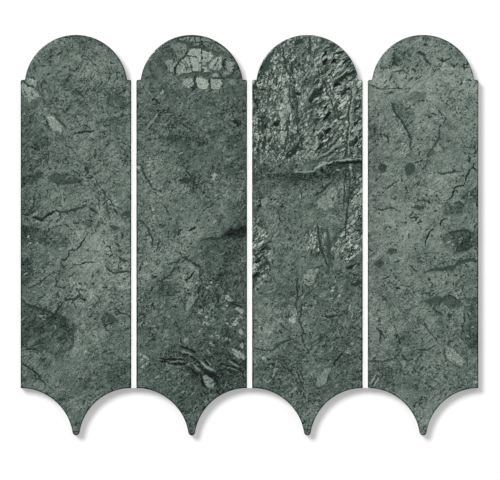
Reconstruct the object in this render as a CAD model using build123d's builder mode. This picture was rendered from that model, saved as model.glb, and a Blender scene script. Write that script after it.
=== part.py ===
"""Marble mosaic tile: one sheet of four long stones, each with a domed head and a pointed foot.

The sheet lies flat, face up. +X runs across the stones, +Y points at their domed heads and
+Z is out of the polished face. The origin is the middle of the sheet, on the face that beds
on the wall. All sizes are in millimetres.

From the back upwards the sheet is a glass-fibre mesh, four stones glued side by side on it,
and a pointed white joint between each pair of neighbours. The hollows beside the feet are
the shape of a domed head, so the next course of stones nests into this one.
"""

import math
import os

from build123d import *

# How the stones are set out
STONE_COUNT = 4
PITCH = 76.2  # middle of one stone to middle of the next, 3 inches
JOINT_WIDTH = 3.44  # open width between two stones

# The stone
BODY_LENGTH = 203.0  # from the corners of the foot to the shoulder line
STONE_THICKNESS = 9.5
DOME_INSET = 2.6  # how far the dome's widest point stays inside the stone's side
DOME_SINK = 4.2  # the dome's centre lies this far below the shoulder line
SHOULDER_ROUND = 1.0  # the outer corner of each shoulder
NECK_ROUND = 0.7  # the inner corner where a shoulder meets the dome
TIP_ROUND = 2.26  # radius of the foot's rounded point
TIP_RISE = 5.75  # centre of that point above the centres of the two hollows
ARRIS = 0.5  # eased edge all round the polished face

# The pointing between the stones
JOINT_RECESS = 0.55  # the pointing meets the stone this far below the polished face
JOINT_HOLLOW = 0.3  # and its middle is tooled this much lower

# The mesh on the back
MESH_THICKNESS = 0.5
MESH_SIDE_MARGIN = 5.0  # the mesh stops short of the outer stones' sides
MESH_END_MARGIN = 4.0  # and of the shoulder line and the foot's corners

# Worked out from the sizes above
stone_half = (PITCH - JOINT_WIDTH) / 2
dome_radius = stone_half - DOME_INSET
hollow_radius = math.hypot(stone_half, TIP_RISE) - TIP_ROUND
dome_top = BODY_LENGTH - DOME_SINK + dome_radius  # above the foot's corners
tip_centre = TIP_RISE - hollow_radius
tip_bottom = tip_centre - TIP_ROUND
corner_y = -(dome_top + tip_bottom) / 2  # puts the middle of the sheet at the origin
shoulder_y = corner_y + BODY_LENGTH
stone_back = MESH_THICKNESS
middles = [PITCH * (i - (STONE_COUNT - 1) / 2) for i in range(STONE_COUNT)]


def stone_outline() -> Sketch:
    """The outline of one stone about its own middle line, drawn as one half and mirrored."""
    tip_turn = math.degrees(math.atan2(TIP_RISE, stone_half))
    neck_turn = math.degrees(math.asin(DOME_SINK / dome_radius))
    shoulder_inner = dome_radius * math.cos(math.radians(neck_turn))
    with BuildSketch() as outline:
        with BuildLine() as half:
            CenterArc((0, corner_y + tip_centre), TIP_ROUND, -90, 90 - tip_turn)
            CenterArc((stone_half, corner_y - hollow_radius), hollow_radius, 90, 90 - tip_turn)
            Line((stone_half, corner_y), (stone_half, shoulder_y))
            Line((stone_half, shoulder_y), (shoulder_inner, shoulder_y))
            CenterArc((0, shoulder_y - DOME_SINK), dome_radius, neck_turn, 90 - neck_turn)
            mirror(about=Plane.YZ)
        make_face()
        on_shoulder_line = outline.vertices().filter_by_position(Axis.Y, shoulder_y, shoulder_y)
        outer_first = on_shoulder_line.sort_by(lambda corner: -abs(corner.X))
        fillet(outer_first[:2], radius=SHOULDER_ROUND)
        on_shoulder_line = outline.vertices().filter_by_position(Axis.Y, shoulder_y, shoulder_y)
        inner_first = on_shoulder_line.sort_by(lambda corner: abs(corner.X))
        fillet(inner_first[:2], radius=NECK_ROUND)
    return outline.sketch


os.makedirs("parts", exist_ok=True)
outline = stone_outline()

# Four stones, cut to one outline from different slabs
for number, middle in enumerate(middles, start=1):
    with BuildPart() as stone:
        with BuildSketch(Plane((middle, 0, stone_back))):
            add(outline)
        extrude(amount=STONE_THICKNESS)
        polished_face = stone.faces().sort_by(Axis.Z)[-1]
        chamfer(polished_face.edges(), length=ARRIS)
    stone.part.label = f"stone_{number}"
    export_step(stone.part, f"parts/{stone.part.label}.step")

# The pointing fills each joint from the foot's corners to the shoulder line. It is drawn
# wide enough to reach round the shoulders' rounded corners, and the stones are cut from it.
pointing_height = STONE_THICKNESS - JOINT_RECESS
trowel_radius = (JOINT_WIDTH**2 / 4 + JOINT_HOLLOW**2) / (2 * JOINT_HOLLOW)
for number, (left, right) in enumerate(zip(middles, middles[1:]), start=1):
    joint_x = (left + right) / 2
    with BuildPart() as pointing:
        with BuildSketch(Plane((joint_x, (corner_y + shoulder_y) / 2, stone_back))):
            Rectangle(JOINT_WIDTH + 2 * SHOULDER_ROUND, BODY_LENGTH)
            with Locations(
                Location((left - joint_x, -(corner_y + shoulder_y) / 2)),
                Location((right - joint_x, -(corner_y + shoulder_y) / 2)),
            ):
                add(outline, mode=Mode.SUBTRACT)
        extrude(amount=pointing_height)
        trowel_height = stone_back + pointing_height - JOINT_HOLLOW + trowel_radius
        with BuildSketch(Plane.XZ.offset(-shoulder_y)):
            with Locations((joint_x, trowel_height)):
                Circle(trowel_radius)
        extrude(amount=BODY_LENGTH, mode=Mode.SUBTRACT)
    pointing.part.label = f"joint_pointing_{number}"
    export_step(pointing.part, f"parts/{pointing.part.label}.step")

# The mesh lies under the stones' bodies and crosses every joint. It is trimmed straight
# across, so that it stays out of the way of the next course.
sheet_width = middles[-1] - middles[0] + 2 * stone_half
with BuildPart() as mesh:
    with BuildSketch(Plane((0, (corner_y + shoulder_y) / 2, 0))):
        Rectangle(sheet_width - 2 * MESH_SIDE_MARGIN, BODY_LENGTH - 2 * MESH_END_MARGIN)
    extrude(amount=MESH_THICKNESS)
mesh.part.label = "backing_mesh"
export_step(mesh.part, "parts/backing_mesh.step")
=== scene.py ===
# %% [markdown]
# # Marble mosaic tile
#
# One sheet of marble mosaic, lying face up: four long green stones side by side, white
# pointing in the joints between them, and a glass-fibre net glued to their backs. The CAD
# model holds the true sizes. This script adds what it leaves out: the figure of the marble,
# the polish, the sawn and jet-cut faces, the tooled pointing and the open net.
#
# Everything below is worked out in millimetres and turned into metres when a mesh is made.

import functools
import math

import bpy
import numpy as np
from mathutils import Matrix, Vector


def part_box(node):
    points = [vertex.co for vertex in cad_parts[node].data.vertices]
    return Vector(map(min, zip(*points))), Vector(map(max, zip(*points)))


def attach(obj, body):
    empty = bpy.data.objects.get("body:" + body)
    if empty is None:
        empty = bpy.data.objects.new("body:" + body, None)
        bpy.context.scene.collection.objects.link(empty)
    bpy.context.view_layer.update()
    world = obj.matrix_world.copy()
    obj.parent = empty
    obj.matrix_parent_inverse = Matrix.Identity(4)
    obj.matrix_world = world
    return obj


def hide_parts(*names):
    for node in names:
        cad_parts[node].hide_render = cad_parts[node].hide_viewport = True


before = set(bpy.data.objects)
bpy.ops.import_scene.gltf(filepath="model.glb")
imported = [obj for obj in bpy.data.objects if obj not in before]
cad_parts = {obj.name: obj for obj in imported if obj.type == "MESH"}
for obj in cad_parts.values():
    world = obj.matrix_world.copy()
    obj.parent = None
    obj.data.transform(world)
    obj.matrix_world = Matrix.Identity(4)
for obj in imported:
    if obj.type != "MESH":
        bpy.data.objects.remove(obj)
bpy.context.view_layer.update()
print("CAD nodes:", sorted(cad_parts))

# %% [markdown]
# ## Sizes
#
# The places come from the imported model's own boxes. Only the radii of the outline, which a box
# doesn't tell, are named again here. Each stone is cut by a water jet to one outline: a
# domed head between two small shoulders, and a rounded point between two hollows.

# %% Measure the CAD model
DOME_INSET = 2.6  # the dome's widest point stays this far inside the stone's side
DOME_SINK = 4.2  # its centre lies this far below the shoulder line
SHOULDER_ROUND = 1.0
NECK_ROUND = 0.7
TIP_ROUND = 2.26
TIP_RISE = 5.75  # the point's centre above the centres of the hollows
ARRIS = 0.5  # eased edge round the polished face


def box_mm(node):
    """Lowest and highest corner of a CAD node, in millimetres."""
    low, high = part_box(node)
    return np.array(low) * 1000, np.array(high) * 1000


STONES = ["stone_1", "stone_2", "stone_3", "stone_4"]
stone_low, stone_high = box_mm("stone_1")
pointing_low, pointing_high = box_mm("joint_pointing_1")
foot_y = pointing_low[1]  # the line of the foot's corners
shoulder_y = pointing_high[1]
back_z, face_z = stone_low[2], stone_high[2]
stone_half = (stone_high[0] - stone_low[0]) / 2
middles = [float(sum(box_mm(name))[0]) / 2 for name in STONES]
pitch = middles[1] - middles[0]
joint_half = pitch / 2 - stone_half
dome_radius = stone_half - DOME_INSET
hollow_radius = math.hypot(stone_half, TIP_RISE) - TIP_ROUND
print("stone half width", round(stone_half, 2), "pitch", round(pitch, 2), "foot", round(foot_y, 2))


# %% [markdown]
# ## Helpers for materials
#
# Colours are written as they read on a screen, and Blender works with the linear amounts of
# light. A material is a tree of nodes, and one function adds any node with its settings and its
# links. Each material starts from an empty tree, so that nothing in it is left to chance.


# %% Colours and nodes
def linear(hex_colour):
    """The linear colour of a screen colour such as #5f6e67, with alpha 1."""
    parts = np.array([int(hex_colour[i : i + 2], 16) / 255 for i in (1, 3, 5)])
    light = np.where(parts <= 0.04045, parts / 12.92, ((parts + 0.055) / 1.055) ** 2.4)
    return (*[float(c) for c in light], 1.0)


def add_node(tree, kind, inputs=(), **settings):
    """Adds a node, sets it up and links it.

    Its inputs are in order, or by name. Each is a value, a socket, or a node whose first output
    is taken.
    """
    node = tree.nodes.new("ShaderNode" + kind)
    for key, setting in settings.items():
        setattr(node, key, setting)
    for key, given in inputs.items() if isinstance(inputs, dict) else enumerate(inputs):
        if isinstance(given, bpy.types.Node):
            given = given.outputs[0]
        if isinstance(given, bpy.types.NodeSocket):
            tree.links.new(given, node.inputs[key])
        else:
            node.inputs[key].default_value = given
    return node


def new_finish(name):
    """A material with an empty tree, and add_node for that tree."""
    material = bpy.data.materials.new(name)
    material.use_nodes = True
    material.node_tree.nodes.clear()
    return material, functools.partial(add_node, material.node_tree)


SMOOTH = {"interpolation_type": "SMOOTHSTEP"}  # an s-shaped step between two values
print("mid green is", [round(part, 3) for part in linear("#5b6962")])


# %% [markdown]
# ## Helpers for meshes
#
# A surface of two parameters is a grid of points, and a grid becomes quads by taking each
# point with its three neighbours. One function puts whole arrays into a mesh at once, which is
# far quicker than adding its points one by one.


# %% Grids, loops and meshes
def grid_quads(rows, columns, first=0):
    """Quads between the points of a grid kept row by row, wound anticlockwise."""
    index = first + np.arange(rows * columns).reshape(rows, columns)
    corners = [index[:-1, :-1], index[:-1, 1:], index[1:, 1:], index[1:, :-1]]
    return np.stack([c.ravel() for c in corners], axis=1)


def loop_quads(lower, upper):
    """Quads between two closed loops of vertex numbers, facing outward if they run anticlockwise."""
    return np.stack([lower, np.roll(lower, -1), np.roll(upper, -1), upper], axis=1)


def add_piece(name, points, quads, caps, material, flat=None):
    """A mesh object from points in mm, an array of quads and a list of larger faces.

    flat marks the quads that are shaded flat; the larger faces always are.
    """
    mesh = bpy.data.meshes.new(name)
    loops = np.concatenate([quads.ravel(), *[np.asarray(c) for c in caps]])
    sizes = np.concatenate([np.full(len(quads), 4), [len(c) for c in caps]]).astype(np.int32)
    mesh.vertices.add(len(points))
    mesh.vertices.foreach_set("co", (np.asarray(points) / 1000).astype(np.float32).ravel())
    mesh.loops.add(len(loops))
    mesh.loops.foreach_set("vertex_index", loops.astype(np.int32))
    mesh.polygons.add(len(sizes))
    mesh.polygons.foreach_set("loop_start", (np.cumsum(sizes) - sizes).astype(np.int32))
    smooth = np.ones(len(sizes), bool)
    smooth[len(quads) :] = False
    if flat is not None:
        smooth[: len(quads)][flat] = False
    mesh.polygons.foreach_set("use_smooth", smooth)
    mesh.update(calc_edges=True)
    mesh.validate()
    mesh.materials.append(material)
    piece = bpy.data.objects.new(name, mesh)
    bpy.context.scene.collection.objects.link(piece)
    print(name, "triangles", int((sizes - 2).sum()))
    return piece


def store(piece, **values):
    """Keeps one number per vertex under each name, for the materials to read."""
    for name, value in values.items():
        attribute = piece.data.attributes.new(name, "FLOAT", "POINT")
        attribute.data.foreach_set("value", np.asarray(value, np.float32))


# %% [markdown]
# ## Noise
#
# Marble is never even. Gradient noise gives soft bumps of one size, and clouds add ever
# smaller bumps on top. The marble's own picture keeps the same strength from one size to the
# next, which a gain near 1 gives.


# %% Noise, clouds and streaks
def noise(x, y, size, seed):
    """Gradient noise, about -1 to 1, with bumps about size mm across.

    Each lattice corner has a random slope g; the value is g . (p - corner), blended between
    the four corners with 6t^5 - 15t^4 + 10t^3.
    """
    angle = np.random.default_rng(seed).uniform(0, 2 * np.pi, (128, 128))
    u, v = x / size, y / size
    i, j = np.floor(u).astype(int), np.floor(v).astype(int)
    fu, fv = u - i, v - j

    def corner(a, b):
        slope = angle[(i + a) % 128, (j + b) % 128]
        return np.cos(slope) * (fu - a) + np.sin(slope) * (fv - b)

    wu = fu**3 * (fu * (fu * 6 - 15) + 10)
    wv = fv**3 * (fv * (fv * 6 - 15) + 10)
    low = corner(0, 0) * (1 - wu) + corner(1, 0) * wu
    high = corner(0, 1) * (1 - wu) + corner(1, 1) * wu
    return 1.5 * (low * (1 - wv) + high * wv)


def clouds(x, y, size, octaves, gain, seed):
    """Noise of several sizes, each half the last and gain times as strong."""
    total = np.zeros_like(x)
    for k in range(octaves):
        turn = 0.6 * k
        u = x * math.cos(turn) + y * math.sin(turn) + 37 * k
        v = y * math.cos(turn) - x * math.sin(turn) - 19 * k
        total += gain**k * noise(u, v, size / 2**k, seed + k)
    return total


def streaks(x, y, size, stretch, lean, seed):
    """Clouds drawn out along a direction that leans lean degrees up from +X."""
    turn = math.radians(lean)
    along = x * math.cos(turn) + y * math.sin(turn)
    across = y * math.cos(turn) - x * math.sin(turn)
    return clouds(along / stretch, across, size, 3, 0.8, seed)


# %% [markdown]
# ## The outline of a stone
#
# The polished face is a ruled surface: its lower edge is the foot, its upper edge is the head,
# and each column of points runs straight from one to the other. Both edges are given for any
# inset, so that the same two curves make the face, the eased arris and the sides.

# %% The outline's curves
COLUMNS = 160
ROWS = 440
HOLLOW_SHARE, TIP_SHARE = 47, 10  # how the columns are shared out along the foot
SHOULDER_SHARE, FLAT_SHARE, NECK_SHARE, DOME_SHARE = 3, 1.5, 2.5, 90  # and along the head


def arc(cx, cy, radius, start, stop):
    """A curve of t from 0 to 1 along an arc, its angles in radians from +X."""

    def curve(t):
        turn = start + (stop - start) * t
        return np.column_stack([cx + radius * np.cos(turn), cy + radius * np.sin(turn)])

    return curve


def straight(ax, ay, bx, by):
    """A curve of t from 0 to 1 along a straight line."""

    def curve(t):
        return np.column_stack([ax + (bx - ax) * t, ay + (by - ay) * t])

    return curve


def chain(u, pieces):
    """Points at u, from 0 to 1, along curves laid end to end. pieces is (share, curve) pairs."""
    ends = np.cumsum([share for share, curve in pieces]) / sum(share for share, curve in pieces)
    starts = np.concatenate([[0], ends[:-1]])
    points = np.empty((len(u), 2))
    for (share, curve), start, end in zip(pieces, starts, ends):
        here = (u >= start - 1e-9) & (u <= end + 1e-9)
        points[here] = curve(np.clip((u[here] - start) / (end - start), 0, 1))
    return points


def foot(u, inset):
    """The foot, from its left corner round the hollow, the point and the other hollow."""
    tip_turn = math.atan2(TIP_RISE, stone_half)
    corner = math.asin(inset / (hollow_radius + inset))
    centre_y = foot_y - hollow_radius
    reach = hollow_radius + inset
    left = arc(-stone_half, centre_y, reach, math.pi / 2 - corner, tip_turn)
    round_tip = TIP_ROUND - inset
    tip = arc(0, centre_y + TIP_RISE, round_tip, math.pi + tip_turn, 2 * math.pi - tip_turn)
    right = arc(stone_half, centre_y, reach, math.pi - tip_turn, math.pi / 2 + corner)
    return chain(u, [(HOLLOW_SHARE, left), (TIP_SHARE, tip), (HOLLOW_SHARE, right)])


def head(u, inset):
    """The head, from the top of the left side over both shoulders and the dome."""
    rise = DOME_SINK + NECK_ROUND
    neck_turn = math.asin(rise / (dome_radius + NECK_ROUND))
    neck_x = math.sqrt((dome_radius + NECK_ROUND) ** 2 - rise**2)
    outer_x = stone_half - SHOULDER_ROUND
    level = shoulder_y - inset
    round_y = shoulder_y - SHOULDER_ROUND
    neck_y = shoulder_y + NECK_ROUND
    dome_y = shoulder_y - DOME_SINK
    half = math.pi / 2
    bend = NECK_ROUND + inset
    return chain(
        u,
        [
            (SHOULDER_SHARE, arc(-outer_x, round_y, SHOULDER_ROUND - inset, math.pi, half)),
            (FLAT_SHARE, straight(-outer_x, level, -neck_x, level)),
            (NECK_SHARE, arc(-neck_x, neck_y, bend, -half, -neck_turn)),
            (DOME_SHARE, arc(0, dome_y, dome_radius - inset, math.pi - neck_turn, neck_turn)),
            (NECK_SHARE, arc(neck_x, neck_y, bend, math.pi + neck_turn, math.pi + half)),
            (FLAT_SHARE, straight(neck_x, level, outer_x, level)),
            (SHOULDER_SHARE, arc(outer_x, round_y, SHOULDER_ROUND - inset, half, 0)),
        ],
    )


def face(inset):
    """The whole face at an inset: P(u, v) = (1 - v) foot(u) + v head(u), row by row."""
    u = np.linspace(0, 1, COLUMNS)
    v = np.linspace(0, 1, ROWS)[:, None, None]
    return ((1 - v) * foot(u, inset) + v * head(u, inset)).reshape(-1, 2)


index = np.arange(ROWS * COLUMNS).reshape(ROWS, COLUMNS)
rim = np.concatenate([index[0, :-1], index[:-1, -1], index[-1, :0:-1], index[:0:-1, 0]])
print("points on a face", ROWS * COLUMNS, "round its rim", len(rim))

# %% [markdown]
# ## The stone as a solid
#
# From the polished face the rim steps down over the eased arris, which a hand polishing pad
# rounds rather than cuts, then down the jet-cut side to the sawn back. Each vertex keeps how
# polished it is and how far along the rim it lies, which the jet's striations follow.

# %% Face, arris, sides and back
ARRIS_STEPS = [(0.22, 0.10), (0.07, 0.25), (0.0, 0.5)]  # inset and depth below the face
SIDE_DEPTHS = [2.0, 4.0, 6.0, 8.0, 9.5]  # the last is the stone's whole thickness


def stone_arrays(middle):
    """Points, quads and the back of one stone, and the numbers kept with each point."""
    top = face(ARRIS)
    points = [np.column_stack([top, np.full(len(top), face_z)])]
    quads = [grid_quads(ROWS, COLUMNS)]
    flat = [np.ones(len(quads[0]), bool)]
    loop = rim
    count = len(top)
    for inset, depth in ARRIS_STEPS + [(0.0, depth) for depth in SIDE_DEPTHS]:
        edge = face(inset)[rim]
        points.append(np.column_stack([edge, np.full(len(edge), face_z - depth)]))
        lower = count + np.arange(len(rim))
        quads.append(loop_quads(lower, loop))
        flat.append(np.zeros(len(rim), bool))
        loop = lower
        count += len(rim)
    points = np.concatenate(points)
    edge = face(0.0)[rim]
    steps = np.linalg.norm(np.roll(edge, -1, axis=0) - edge, axis=1)
    run = np.concatenate([[0], np.cumsum(steps)[:-1]])
    along = np.zeros(len(points))
    along[rim] = run
    along[len(top) :] = np.tile(run, len(ARRIS_STEPS) + len(SIDE_DEPTHS))
    polish = np.zeros(len(points))
    polish[: len(top) + len(rim) * (len(ARRIS_STEPS) - 1)] = 1.0
    # eased marks the rows of the eased edge, where the marble's colour gets painted shade
    eased = np.zeros(len(points))
    eased[rim] = 1.0
    eased[len(top) : len(top) + len(rim) * (len(ARRIS_STEPS) + 1)] = 1.0
    local = points[:, :2].copy()
    points[:, 0] += middle
    back = loop[::-1]
    return points, np.concatenate(quads), back, np.concatenate(flat), local, along, polish, eased


print("points on a stone", len(stone_arrays(middles[0])[0]))

# %% [markdown]
# ## Drawing the figure
#
# A marble like this was broken and healed many times, so a slab shows three things: pale
# broken pieces (clasts), dark veins where it healed, and soft clouds between. Each stone's own
# veins and clasts are named below, in mm from the middle of the stone. The functions
# here turn them into distances, which the material makes into crisp edges.


# %% Lines, shapes and clouds
FAR = 9.0  # stands for no line or shape near by
OVERLAP = 0.1  # mm inside its edge from which a later shape hides an earlier one
LENS_CORNERS = 10


def wander(x, y, seed):
    """The plane pushed about a little, so that drawn lines break up as real ones do."""
    push_x = 0.9 * noise(x, y, 7.0, seed) + 0.45 * noise(x, y, 2.2, seed + 1)
    push_y = 0.9 * noise(x, y, 7.0, seed + 2) + 0.45 * noise(x, y, 2.2, seed + 3)
    return x + push_x, y + push_y


def draw_lines(x, y, lines):
    """The nearest drawn line: its distance in half widths, and its tone.

    A line is (tone, width, points). Its width grows as sqrt(sin(pi s)) from both ends, with
    s the share of its length.
    """
    nearest = np.full(len(x), FAR)
    tone = np.zeros(len(x))
    for line_tone, width, points in lines:
        path = np.array(points, float)
        steps = np.diff(path, axis=0)
        lengths = np.hypot(steps[:, 0], steps[:, 1])
        before = np.concatenate([[0], np.cumsum(lengths)[:-1]])
        for (ax, ay), (dx, dy), length, start in zip(path, steps, lengths, before):
            reach = 3 * width + length
            near = np.flatnonzero((abs(x - ax - dx / 2) < reach) & (abs(y - ay - dy / 2) < reach))
            t = np.clip(((x[near] - ax) * dx + (y[near] - ay) * dy) / length**2, 0, 1)
            share = (start + t * length) / lengths.sum()
            half = width / 2 * (0.35 + 0.65 * np.sqrt(np.sin(np.pi * np.clip(share, 0.0, 1.0))))
            gap = np.hypot(x[near] - ax - t * dx, y[near] - ay - t * dy) / half
            closer = gap < nearest[near]
            nearest[near[closer]] = gap[closer]
            tone[near[closer]] = line_tone
    return nearest, tone


def draw_shapes(x, y, shapes):
    """How far inside the nearest drawn shape each point is, in mm, and the shape's tone.

    A shape is (tone, points), and one that is drawn later lies on top. Inside is found by
    counting the edges crossed on the way out.
    """
    depth = np.full(len(x), -FAR)
    tone = np.zeros(len(x))
    for shape_tone, points in shapes:
        corners = np.array(points, float)
        low, high = corners.min(0) - 4, corners.max(0) + 4
        near = np.flatnonzero((x > low[0]) & (x < high[0]) & (y > low[1]) & (y < high[1]))
        px, py = x[near], y[near]
        inside = np.zeros(len(near), bool)
        gap = np.full(len(near), FAR)
        for (ax, ay), (bx, by) in zip(corners, np.roll(corners, -1, axis=0)):
            t = ((px - ax) * (bx - ax) + (py - ay) * (by - ay)) / ((bx - ax) ** 2 + (by - ay) ** 2)
            t = np.clip(t, 0, 1)
            gap = np.minimum(gap, np.hypot(px - ax - t * (bx - ax), py - ay - t * (by - ay)))
            if ay != by:
                crosses = ((ay > py) != (by > py)) & (px < ax + (py - ay) * (bx - ax) / (by - ay))
                inside ^= crosses
        signed = np.where(inside, gap, -gap)
        closer = (signed > depth[near]) | (signed > OVERLAP)
        depth[near[closer]] = signed[closer]
        tone[near[closer]] = shape_tone
    return depth, tone


def draw_clouds(x, y, patches):
    """The sum of soft patches. A patch is (strength, x, y, half length, half width, lean)."""
    total = np.zeros(len(x))
    for strength, cx, cy, half_length, half_width, lean in patches:
        turn = math.radians(lean)
        along = (x - cx) * math.cos(turn) + (y - cy) * math.sin(turn)
        across = (y - cy) * math.cos(turn) - (x - cx) * math.sin(turn)
        total += strength * np.exp(-((along / half_length) ** 2 + (across / half_width) ** 2))
    return total


def lenses(tone, *places):
    """Lens-shaped patches of one tone. A place is (x, y, half length, half width, lean).

    Going round at angle t, the outline lies half_length cos t along the lens and
    half_width sin t (1 - |cos t| / 4) across it, which draws its ends out to blunt points.
    """
    patches = []
    t = 2 * np.pi * np.arange(LENS_CORNERS) / LENS_CORNERS
    for x, y, half_length, half_width, lean in places:
        turn = math.radians(lean)
        along = half_length * np.cos(t)
        across = half_width * np.sin(t) * (1 - 0.25 * abs(np.cos(t)))
        ring_x = x + along * math.cos(turn) - across * math.sin(turn)
        ring_y = y + along * math.sin(turn) + across * math.cos(turn)
        patches.append((tone, np.column_stack([ring_x, ring_y])))
    return patches


# %% [markdown]
# ## The veins of each stone
#
# Tones run from 0, black, to 1, white. A healed crack is nearly black where serpentine fills
# it and only dark where the two sides have grown together. Clasts are pale, because they are
# limestone that the green didn't reach. A figure could be left to noise alone, but then it
# would be another stone. So each stone's shapes, patches, lines and clouds are listed one by one.

# %% Tones by name
INKY, BLACK, DARK, DIM = 0.07, 0.13, 0.21, 0.27
FAIR, PALE, BRIGHT = 0.50, 0.57, 0.64
print("dark tones", (INKY, BLACK, DARK, DIM), "pale tones", (FAIR, PALE, BRIGHT))

# %% [markdown]
# ## The first stone
#
# Mid green and fairly calm, with pale clasts at its left shoulder and small ones lower down.
# Broad darker patches are drawn as shapes that shift the ground's tone, and the thin veins
# as lines in groups of one tone and width in millimetres.

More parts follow.
